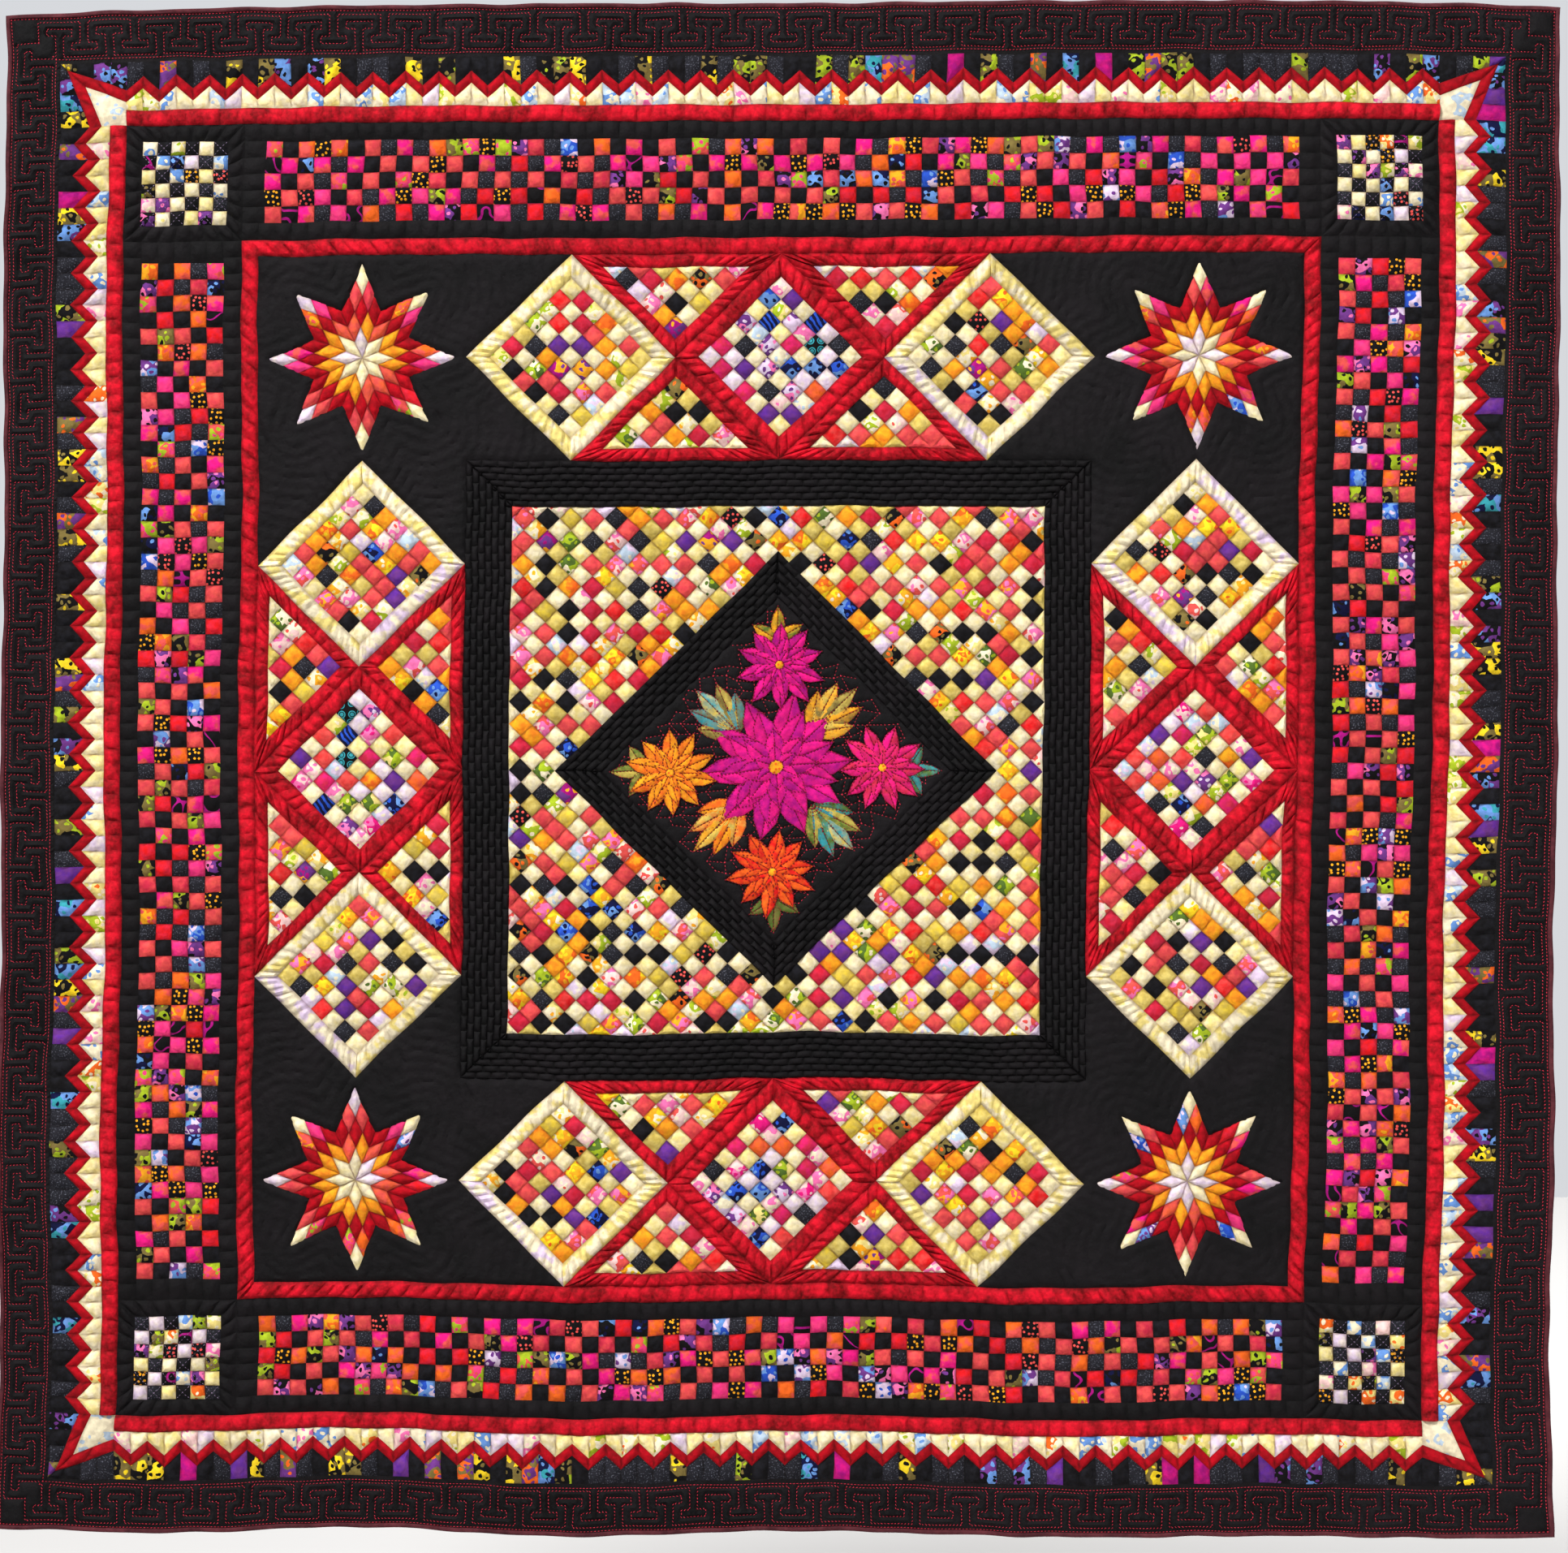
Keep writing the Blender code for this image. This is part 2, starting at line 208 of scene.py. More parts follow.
WEAVE = weave_group()
THREAD_SPACING = 0.0007
WEAVE_RELIEF = 0.0016
COTTON_SHINE = 0.15


def new_material(name, roughness, shine):
    """A material without its colour, as itself, its node tree, its place and its shader."""
    material = bpy.data.materials.new(name)
    material.use_nodes = True
    tree = material.node_tree
    shader = tree.nodes["Principled BSDF"]
    shader.inputs["Roughness"].default_value = roughness
    shader.inputs["Specular IOR Level"].default_value = shine
    return material, tree, tree.nodes.new("ShaderNodeTexCoord").outputs["Object"], shader


def cloth_material(name, roughness):
    """A woven cotton without its colour."""
    material, tree, place, shader = new_material(name, roughness, COTTON_SHINE)
    wiring = {"Vector": place, "Thread Spacing": THREAD_SPACING}
    weave = add_output(tree, "ShaderNodeGroup", wiring, node_tree=WEAVE)
    bump = add_output(tree, "ShaderNodeBump", {"Strength": 0.7, "Distance": WEAVE_RELIEF, "Height": weave})
    tree.links.new(bump, shader.inputs["Normal"])
    return material, tree, place, shader


def colour_cloth(tree, place, shader, colour):
    """Colours a cloth, a little unevenly, and paints shade on it down in the ditches that the seams make.
    """
    worn = mixed(tree, noise_mask(tree, place, 130, 0.3, 0.7, 3.0), (0.74, 0.72, 0.72, 1), (1, 1, 1, 1))
    ditch_shade = add_node(tree, "ShaderNodeAttribute", {}, attribute_name="ditch_shade").outputs["Fac"]
    # Painted shade: the colour is mixed towards dark brown where a point is marked as lying down in a
    # seam's ditch.
    shade = mixed(tree, calculate(tree, "MULTIPLY", ditch_shade, 0.8), worn, (0.16, 0.09, 0.08, 1))
    tree.links.new(mixed(tree, 1.0, colour, shade, "MULTIPLY"), shader.inputs["Base Color"])


PLAIN, DOTS, STRIPES, FLECKS, BLOTCHES, RINGS, SCROLLS, PETALS = range(8)
PETAL_BEND = 0.010


def print_group():
    """The prints: each has a ground, two more colours and one of eight designs, by its number."""
    tree, ins, outs = new_tree(
        "cotton prints", "ShaderNodeTree",
        [("Vector", "Vector"), ("Ground", "Color"), ("Second", "Color"), ("Third", "Color"),
         ("Design", "Float")],
        ("Color", "Color"),
    )
    vector = ins["Vector"]

    def spots(source, per_metre, randomness):
        return add_node(tree, "ShaderNodeTexVoronoi", {
            "Vector": source, "Scale": per_metre, "Randomness": randomness,
        }, voronoi_dimensions="2D").outputs

    place = add_node(tree, "ShaderNodeSeparateXYZ", {"Vector": vector}).outputs
    slant = calculate(tree, "MULTIPLY_ADD", place["Y"], 0.6, place["X"])
    sway = calculate(tree, "MULTIPLY", noise(tree, vector, 60), 9.0)
    stripe = calculate(tree, "SINE", calculate(tree, "MULTIPLY_ADD", slant, 900.0, sway))
    large = spots(vector, 95, 0.35)["Distance"]
    ring = calculate(tree, "COMPARE", large, 0.26, 0.045)
    contour = calculate(tree, "ABSOLUTE", calculate(tree, "SUBTRACT", noise(tree, vector, 55, 0.0), 0.5))
    swirl = add_node(tree, "ShaderNodeTexNoise", {"Vector": vector, "Scale": 80.0}).outputs["Color"]
    bend = (PETAL_BEND, PETAL_BEND, 0)
    bent = calculate(tree, "MULTIPLY_ADD", swirl, bend, vector, kind="ShaderNodeVectorMath")
    cells = spots(bent, 96, 0.9)
    random_value = add_node(tree, "ShaderNodeSeparateColor", {"Color": cells["Color"]}).outputs["Red"]
    heart = calculate(tree, "LESS_THAN", cells["Distance"], 0.21)
    petal = calculate(tree, "FRACT", calculate(tree, "MULTIPLY_ADD", heart, 0.37, random_value))
    masks = {
        PLAIN: calculate(tree, "MULTIPLY", noise_mask(tree, vector, 110, 0.3, 0.72), 0.6),
        DOTS: calculate(tree, "LESS_THAN", spots(vector, 170, 0.6)["Distance"], 0.25),
        STRIPES: calculate(tree, "GREATER_THAN", stripe, 0.15),
        FLECKS: calculate(tree, "MULTIPLY", noise_mask(tree, vector, 600, 0.6, 0.68, 1.0), 0.7),
        BLOTCHES: noise_mask(tree, vector, 62, 0.47, 0.60, 3.0),
        RINGS: calculate(tree, "SUBTRACT", calculate(tree, "LESS_THAN", large, 0.42), ring),
        SCROLLS: calculate(tree, "LESS_THAN", contour, 0.035),
        PETALS: calculate(tree, "GREATER_THAN", petal, 0.40),
    }
    share = 0.0
    for number, mask in masks.items():
        chosen = calculate(tree, "COMPARE", ins["Design"], float(number), 0.4)
        share = calculate(tree, "MULTIPLY_ADD", chosen, mask, share)
    colour = mixed(tree, calculate(tree, "MINIMUM", share, 1.0), ins["Ground"], ins["Second"])
    third = calculate(tree, "MULTIPLY", chosen, calculate(tree, "GREATER_THAN", petal, 0.74))
    tree.links.new(mixed(tree, third, colour, ins["Third"]), outs["Color"])
    return tree


def patchwork_material():
    """Printed and dyed cottons; each patch brings its own colours, design and place on the print."""
    material, tree, place, shader = cloth_material("patchwork cottons", 0.85)
    flat = add_node(tree, "ShaderNodeSeparateXYZ", {"Vector": place}).outputs
    plane = add_output(tree, "ShaderNodeCombineXYZ", {"X": flat["X"], "Y": flat["Z"]})
    brought = {name: add_node(tree, "ShaderNodeAttribute", {}, attribute_name=name).outputs
               for name in ("shift", "ground", "second", "third", "design")}
    moved = calculate(tree, "ADD", plane, brought["shift"]["Vector"], kind="ShaderNodeVectorMath")
    prints = add_output(tree, "ShaderNodeGroup", {
        "Vector": moved, "Ground": brought["ground"]["Color"], "Second": brought["second"]["Color"],
        "Third": brought["third"]["Color"], "Design": brought["design"]["Fac"],
    }, node_tree=print_group())
    colour_cloth(tree, place, shader, prints)
    return material


def dye(red, green, blue):
    """A dye from its place on a 255-step colour chart, as the light that it gives back."""
    return tuple((share / 255) ** 2.2 for share in (red, green, blue))


def dyed_material(name, colour, deep, roughness, blotch):
    """One cotton dyed unevenly between two colours, in blotches of that size in metres."""
    material, tree, place, shader = cloth_material(name, roughness)
    large = noise_mask(tree, place, 0.5 / blotch, 0.36, 0.64, 4.0)
    small = noise_mask(tree, place, 3 / blotch, 0.3, 0.7)
    share = calculate(tree, "MULTIPLY_ADD", small, 0.35, calculate(tree, "MULTIPLY", large, 0.65))
    colour_cloth(tree, place, shader, mixed(tree, share, (*dye(*deep), 1), (*dye(*colour), 1)))
    return material


PATCHWORK = patchwork_material()
BACKING = dyed_material("backing cotton", (60, 52, 57), (46, 40, 44), 0.85, 0.05)


HAIR = 0.00002


def pillow_tree(name, steps):
    """Raises every patch between its seams by (share of the rise, size of the top) steps.

    The steps are then rounded off, and a flatter back and the walls at the rim close the piece.
    """
    tree, ins, outs = new_tree(
        name, "GeometryNodeTree",
        [("Geometry", "Geometry"), ("Seam", "Float"), ("Rise", "Float"), ("Back", "Float"),
         ("Back Rise", "Float"), ("Unevenness", "Float"), ("Wrinkle", "Float"),
         ("Front Cloth", "Material"), ("Back Cloth", "Material")],
        ("Geometry", "Geometry"),
    )

    def moved(geometry, height, selection=True):
        offset = add_output(tree, "ShaderNodeCombineXYZ", {"Z": height})
        wiring = {"Geometry": geometry, "Offset": offset, "Selection": selection}
        return add_output(tree, "GeometryNodeSetPosition", wiring)

    def height_of(position):
        return add_node(tree, "ShaderNodeSeparateXYZ", {"Vector": position}).outputs["Z"]

    uneven = add_output(tree, "FunctionNodeRandomValue", {
        "Min": calculate(tree, "SUBTRACT", 1.0, ins["Unevenness"]),
        "Max": calculate(tree, "ADD", 1.0, ins["Unevenness"]), "Seed": 7,
    }, data_type="FLOAT")
    rise = calculate(tree, "MULTIPLY", ins["Rise"], uneven)
    front, top = moved(ins["Geometry"], ins["Seam"]), True
    for share, size in steps:
        step = add_node(tree, "GeometryNodeExtrudeMesh", {
            "Mesh": front, "Selection": top, "Offset Scale": calculate(tree, "MULTIPLY", rise, share),
        }, mode="FACES").outputs
        top = step["Top"]
        front = add_output(tree, "GeometryNodeScaleElements", {
            "Geometry": step["Mesh"], "Selection": top, "Scale": size,
        }, domain="FACE")
    at_seam = calculate(tree, "ADD", ins["Seam"], HAIR)
    position = tree.nodes.new("GeometryNodeInputPosition").outputs[0]
    height = height_of(position)
    ends = tree.nodes.new("GeometryNodeInputMeshEdgeVertices").outputs
    end_heights = [height_of(ends[key]) for key in ("Position 1", "Position 2")]
    rounded = add_output(tree, "GeometryNodeSubdivisionSurface", {
        "Mesh": front, "Level": 1,
        "Edge Crease": calculate(tree, "LESS_THAN", calculate(tree, "MAXIMUM", *end_heights), at_seam),
        "Vertex Crease": calculate(tree, "LESS_THAN", height, at_seam),
    })
    # Painted shade: the points that lie down at the seams are marked, and their cloth is painted darker.
    rounded = add_output(tree, "GeometryNodeStoreNamedAttribute", {
        "Geometry": rounded, "Name": "ditch_shade", "Value": calculate(tree, "LESS_THAN", height, at_seam),
    }, data_type="FLOAT", domain="POINT")
    wrinkle = calculate(tree, "SUBTRACT", noise(tree, position, 130), 0.5)
    wrinkle = calculate(tree, "MULTIPLY", wrinkle, calculate(tree, "MULTIPLY", ins["Wrinkle"], 4.0))
    front = moved(rounded, wrinkle, calculate(tree, "GREATER_THAN", height, at_seam))

    divided = add_output(tree, "GeometryNodeSubdivideMesh", {"Mesh": ins["Geometry"], "Level": 1})
    neighbours = tree.nodes.new("GeometryNodeInputMeshEdgeNeighbors").outputs[0]
    at_rim = calculate(tree, "LESS_THAN", neighbours, 1.5)
    patch = add_output(tree, "GeometryNodeInputNamedAttribute", {"Name": "patch"}, data_type="INT")
    seams = add_output(tree, "GeometryNodeMeshFaceSetBoundaries", {"Face Group ID": patch})
    sewn = calculate(tree, "OR", at_rim, seams, kind="FunctionNodeBooleanMath")
    sewn = add_output(tree, "GeometryNodeFieldOnDomain", {"Value": sewn},
                      data_type="BOOLEAN", domain="POINT")
    loose = calculate(tree, "NOT", sewn, kind="FunctionNodeBooleanMath")
    below = calculate(tree, "MULTIPLY", ins["Back"], -1.0)
    behind = moved(divided, below)
    behind = moved(behind, calculate(tree, "MULTIPLY", ins["Back Rise"], -1.0), loose)
    # Painted shade on the back: the sewn points are marked, and the backing is painted darker along the
    # quilting lines.
    behind = add_output(tree, "GeometryNodeStoreNamedAttribute", {
        "Geometry": behind, "Name": "ditch_shade", "Value": calculate(tree, "MULTIPLY_ADD", loose, -0.4, 0.4),
    }, data_type="FLOAT", domain="POINT")
    behind = add_output(tree, "GeometryNodeFlipFaces", {"Mesh": behind})
    walls = add_node(tree, "GeometryNodeExtrudeMesh", {
        "Mesh": moved(divided, ins["Seam"]), "Selection": at_rim,
        "Offset": add_output(tree, "ShaderNodeCombineXYZ", {"Z": -1.0}),
        "Offset Scale": calculate(tree, "ADD", ins["Seam"], ins["Back"]),
    }, mode="EDGES").outputs
    kept = add_output(tree, "GeometryNodeSeparateGeometry",
                    {"Geometry": walls["Mesh"], "Selection": walls["Side"]}, domain="FACE")
    join = tree.nodes.new("GeometryNodeJoinGeometry")
    for part in (front, behind, kept):
        tree.links.new(part, join.inputs[0])
    merged = add_output(tree, "GeometryNodeMergeByDistance",
                      {"Geometry": join.outputs[0], "Distance": HAIR})
    real = add_output(tree, "GeometryNodeRealizeInstances", {"Geometry": merged})
    wiring = {"Geometry": real, "Material": ins["Front Cloth"]}
    dressed = add_output(tree, "GeometryNodeSetMaterial", wiring)
    at_back = calculate(tree, "LESS_THAN", height, calculate(tree, "ADD", below, HAIR))
    dressed = add_output(tree, "GeometryNodeSetMaterial", {
        "Geometry": dressed, "Selection": at_back, "Material": ins["Back Cloth"],
    })
    tree.links.new(dressed, outs[0])
    return tree


PILLOWS = pillow_tree("quilted pillows", ((0.62, 0.80), (0.46, 0.55)))


def new_object(name, data):
    thing = bpy.data.objects.new(name, data)
    bpy.context.scene.collection.objects.link(thing)
    return thing


def apply_tree(guide, tree, settings):
    """The mesh that a tree of Geometry Nodes makes of a guide mesh, with its inputs set by name."""
    holder = new_object(guide.name, guide)
    modifier = holder.modifiers.new(tree.name, "NODES")
    modifier.node_group = tree
    for item in tree.interface.items_tree:
        if item.in_out == "INPUT" and item.name in settings:
            modifier[item.identifier] = settings[item.name]
    mesh = bpy.data.meshes.new_from_object(holder.evaluated_get(bpy.context.evaluated_depsgraph_get()))
    holder.modifiers.remove(modifier)
    bpy.data.objects.remove(holder)
    flat = np.empty(len(mesh.vertices) * 3, dtype=np.float32)
    mesh.vertices.foreach_get("co", flat)
    placed = hang(flat.reshape(-1, 3).astype(np.float64))
    mesh.vertices.foreach_set("co", placed.astype(np.float32).ravel())
    mesh.update()
    return mesh


def finish_piece(name, mesh, nodes, slot, crease_angle=38):
    """Puts a finished mesh in the scene as a piece that stands for those nodes of the frame."""
    mesh.shade_smooth()
    mesh.set_sharp_from_angle(angle=math.radians(crease_angle))
    piece = new_object(name, mesh)
    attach(piece, "root")
    if nodes:
        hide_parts(*nodes)
    return piece


DYES = {
    "cream": (247, 234, 198), "butter": (240, 219, 130), "straw": (204, 178, 84),
    "yellow": (250, 214, 40), "gold": (250, 168, 36), "orange": (244, 104, 34),
    "coral": (236, 86, 80), "rose": (204, 46, 72), "scarlet": (226, 26, 30),
    "pink": (248, 116, 176), "hot pink": (244, 66, 124), "fuchsia": (238, 28, 128),
    "blush": (248, 206, 200), "lilac": (224, 202, 228), "sky": (190, 210, 228),
    "purple": (108, 56, 130), "violet": (84, 34, 156), "magenta": (164, 18, 120),
    "blue": (44, 84, 196), "azure": (104, 148, 214), "navy": (16, 20, 60), "lime": (164, 186, 40),
    "leaf": (86, 112, 46), "teal": (58, 156, 168), "olive": (122, 106, 58),
    "crimson": (186, 8, 30), "wine": (112, 3, 18), "black": (17, 15, 17),
    "charcoal": (36, 36, 42), "grey": (108, 110, 122),
}
PRINTS = {
    "pale": (
        (8, PLAIN, "cream", "butter"), (4, PLAIN, "butter", "cream"),
        (4, PLAIN, "straw", "butter"), (2, PETALS, "cream", "butter", "lime"),
        (2, PETALS, "butter", "cream", "gold"), (1, PETALS, "cream", "blush", "pink"),
        (1, PETALS, "sky", "cream", "lilac"), (1, BLOTCHES, "lilac", "cream"),
        (1, PETALS, "blush", "cream", "coral"), (2, PLAIN, "gold", "orange"),
        (2, PLAIN, "coral", "rose"), (1, PETALS, "yellow", "gold", "cream"),
    ),
    "garden": (
        (5, PLAIN, "coral", "rose"), (4, PLAIN, "rose", "crimson"),
        (2, PLAIN, "scarlet", "coral"), (3, PLAIN, "gold", "orange"),
        (1, BLOTCHES, "orange", "gold"), (3, PETALS, "gold", "yellow", "orange"),
        (5, PLAIN, "black", "charcoal"), (3, FLECKS, "charcoal", "grey"),
        (1, DOTS, "black", "coral"), (2, PLAIN, "purple", "violet"),
        (2, PETALS, "pink", "blush", "coral"), (1, PETALS, "navy", "blue", "azure"),
        (2, PETALS, "leaf", "lime", "cream"), (2, PLAIN, "straw", "yellow"),
        (2, PETALS, "coral", "pink", "gold"), (1, PETALS, "purple", "magenta", "gold"),
        (1, PETALS, "black", "olive", "orange"),
    ),
    "soft": (
        (4, PLAIN, "cream", "butter"), (3, PLAIN, "lilac", "cream"),
        (2, PETALS, "blush", "cream", "pink"), (2, PETALS, "cream", "sky", "lilac"),
        (2, PLAIN, "butter", "cream"), (1, PETALS, "cream", "butter", "lime"),
    ),
    "cool": (
        (2, PLAIN, "purple", "violet"), (2, PETALS, "purple", "lilac", "pink"),
        (2, PETALS, "navy", "blue", "azure"), (1, STRIPES, "navy", "blue"),
        (3, PLAIN, "coral", "scarlet"), (2, PETALS, "pink", "fuchsia", "blush"),
        (2, PLAIN, "orange", "coral"), (2, PETALS, "leaf", "lime", "butter"),
        (2, FLECKS, "charcoal", "grey"), (1, RINGS, "black", "teal"),
        (1, BLOTCHES, "gold", "orange"), (2, PLAIN, "rose", "fuchsia"),
    ),
    "dark": (
        (6, PLAIN, "black", "charcoal"), (5, FLECKS, "charcoal", "grey"),
        (2, DOTS, "black", "gold"), (1, DOTS, "black", "coral"),
        (2, PETALS, "black", "olive", "lime"), (1, PETALS, "black", "navy", "azure"),
        (2, PETALS, "black", "purple", "pink"), (1, SCROLLS, "black", "magenta"),
    ),
    "bright": (
        (4, BLOTCHES, "fuchsia", "coral"), (3, PLAIN, "hot pink", "fuchsia"),
        (6, PLAIN, "coral", "rose"), (3, PLAIN, "scarlet", "rose"), (2, PLAIN, "rose", "coral"),
        (3, BLOTCHES, "orange", "coral"), (1, PETALS, "purple", "lilac", "azure"),
        (2, PETALS, "hot pink", "coral", "lime"), (1, PETALS, "blue", "azure", "lilac"),
        (2, PETALS, "coral", "orange", "gold"),
    ),
    "tooth": (
        (4, PLAIN, "butter", "cream"), (5, PLAIN, "cream", "butter"),
        (2, PETALS, "cream", "cream", "azure"), (2, PETALS, "cream", "butter", "orange"),
        (2, PETALS, "blush", "cream", "pink"), (2, PETALS, "butter", "cream", "lime"),
        (2, PLAIN, "lilac", "cream"), (2, PETALS, "cream", "sky", "azure"),
    ),
    "strip": (
        (6, PLAIN, "black", "charcoal"), (6, FLECKS, "charcoal", "grey"),
        (1, PLAIN, "purple", "violet"), (1, PETALS, "black", "olive", "lime"),
        (2, PETALS, "black", "olive", "yellow"), (1, PETALS, "navy", "azure", "teal"),
        (1, PETALS, "purple", "olive", "orange"), (1, PLAIN, "magenta", "fuchsia"),
        (1, PETALS, "black", "purple", "azure"),
    ),
    "pale_frame": (
        (2, BLOTCHES, "cream", "butter"), (1, BLOTCHES, "butter", "cream"),
        (1, BLOTCHES, "cream", "lilac"),
    ),
    "kite": (
        (1, PETALS, "cream", "cream", "sky"),
    ),
    "red": (
        (1, PLAIN, "crimson", "wine"),
    ),
    "black": (
        (1, PLAIN, "black", "charcoal"),
    ),
    "star_tip": (
        (2, PLAIN, "cream", "butter"), (1, PLAIN, "lilac", "cream"),
    ),
    "star_warm": (
        (2, PLAIN, "gold", "orange"), (1, PLAIN, "coral", "orange"),
    ),
}


def cut_print(rng, family):
    """A print of that family, as its design and its dyes."""
    rows = PRINTS[family]
    return rng.choices(rows, weights=[row[0] for row in rows])[0][1:]


def lay_prints(mesh, prints, owners, seed):
    """Gives each face the print of the patch that owns it, each at its own place on the cloth."""
    rng = random.Random(seed)
    tones = [rng.uniform(0.78, 1.06) for _ in prints]
    for place, key in enumerate(("ground", "second", "third")):
        dyes = [(cut[1:] + cut[-1:] * 2)[place] for cut in prints]
        colours = np.array([[*(c * tone for c in dye(*DYES[name])), 1.0]
                            for name, tone in zip(dyes, tones)])
        mesh.attributes.new(key, "FLOAT_COLOR", "FACE").data.foreach_set("color", colours[owners].ravel())
    shifts = np.array([[rng.uniform(0, 9), rng.uniform(0, 9), 0.0] for _ in prints])[owners]
    mesh.attributes.new("shift", "FLOAT_VECTOR", "FACE").data.foreach_set("vector", shifts.ravel())
    designs = np.array([float(cut[0]) for cut in prints])[owners]
    mesh.attributes.new("design", "FLOAT", "FACE").data.foreach_set("value", designs)
    mesh.attributes.new("patch", "INT", "FACE").data.foreach_set("value", np.array(owners, dtype=np.int32))


CUTTING_ERROR = 0.0005
BACK_RISE = 0.0014
UNEVENNESS = 0.10
WRINKLE = 0.0004


def patchwork(name, patches, nodes, slot, rise=PUFF, seam=SEAM, back=BACK,
              front=None, seed=1, tree=PILLOWS):
    """Sews patches, each a list of corners and its print, into one quilted piece."""
    rng = random.Random(seed)
    places, index_of, faces, uses = [], {}, [], Counter()
    for corners, _ in patches:
        face = []
        for u, v in anticlockwise(corners):
            key = (round(u, 6), round(v, 6))
            if key not in index_of:
                index_of[key] = len(places)
                places.append((u, v))
            face.append(index_of[key])
        faces.append(face)
        uses.update(frozenset(pair) for pair in closed_lines(face))
    at_rim = {corner for pair, count in uses.items() if count == 1 for corner in pair}
    flat = []
    for index, (u, v) in enumerate(places):
        slip = 0.0 if index in at_rim else CUTTING_ERROR
        flat.append((u + rng.uniform(-slip, slip), v + rng.uniform(-slip, slip), 0.0))
    cut = bpy.data.meshes.new(name + "_cut")
    cut.from_pydata(flat, [], faces)
    cut.materials.append(front or PATCHWORK)
    lay_prints(cut, [dyes for _, dyes in patches], range(len(patches)), seed)
    mesh = apply_tree(cut, tree, {
        "Seam": seam, "Rise": rise, "Back": back, "Back Rise": BACK_RISE, "Unevenness": UNEVENNESS,
        "Wrinkle": WRINKLE, "Front Cloth": front or PATCHWORK, "Back Cloth": BACKING,
    })
    return finish_piece(name, mesh, nodes, slot)


def cell_corners(i, j):
    return ((i, j), (i + 1, j), (i + 1, j + 1), (i, j + 1))


def squares_in(quad, count_along, count_up):
    """Rows of patches that divide a four-cornered panel, as (column, row, corners)."""
    a, b, c, d = quad
    cells = []
    for i in range(count_along):
        for j in range(count_up):
            corners = []
            for s, t in cell_corners(i, j):
                low = part_way(a, b, s / count_along)
                high = part_way(d, c, s / count_along)
                corners.append(part_way(low, high, t / count_up))
            cells.append((i, j, corners))
    return cells


def diamond(u, half):
    """A square on point in the top side of the ring, by its middle and half its diagonal."""
    middle = 2 * CELL
    return [(u, middle - half), (u + half, middle), (u, middle + half), (u - half, middle)]


BLOCK_SQUARES = 7
FRAME_SHARE = BLOCK_SQUARES / 9

block_rng = random.Random(11)
block_nodes, block_patches = [], []
for quarters, side in enumerate(SIDE_NAMES):
    for number, u in ((1, CELL), (2, 0.0), (3, -CELL)):
        block_nodes.append(f"block_{side}_{number}")
        inner = turned(diamond(u, FRAME_SHARE * CELL / 2), quarters)
        families = ("soft", "cool") if number == 2 else ("pale", "garden")
        for i, j, corners in squares_in(inner, BLOCK_SQUARES, BLOCK_SQUARES):
            block_patches.append((corners, cut_print(block_rng, families[(i + j) % 2])))
patchwork("block_squares", block_patches, (), "bright_checks", seed=12)


def mark_ditch_shade(mesh, heights, strongest):
    """Marks painted shade on the front, stronger the further down each point lies between the padding and a
    seam.
    """
    sunk = np.clip(1 - (heights - SEAM) / PUFF, 0, 1) ** 1.5
    ditch_shade = np.where(heights > 0, np.minimum(sunk, strongest), 0.0)
    mesh.attributes.new("ditch_shade", "FLOAT", "POINT").data.foreach_set("value", ditch_shade)


STRONGEST_DITCH_SHADE = 0.75


def hung_mesh(name, flat, faces, cloths, behind=()):
    """A mesh where the flat places are once the quilt hangs. The faces behind have the second cloth."""
    mesh = bpy.data.meshes.new(name)
    mesh.from_pydata(hang(flat).tolist(), [], faces)
    for cloth in cloths:
        mesh.materials.append(cloth)
    for index in behind:
        mesh.polygons[index].material_index = 1
    return mesh


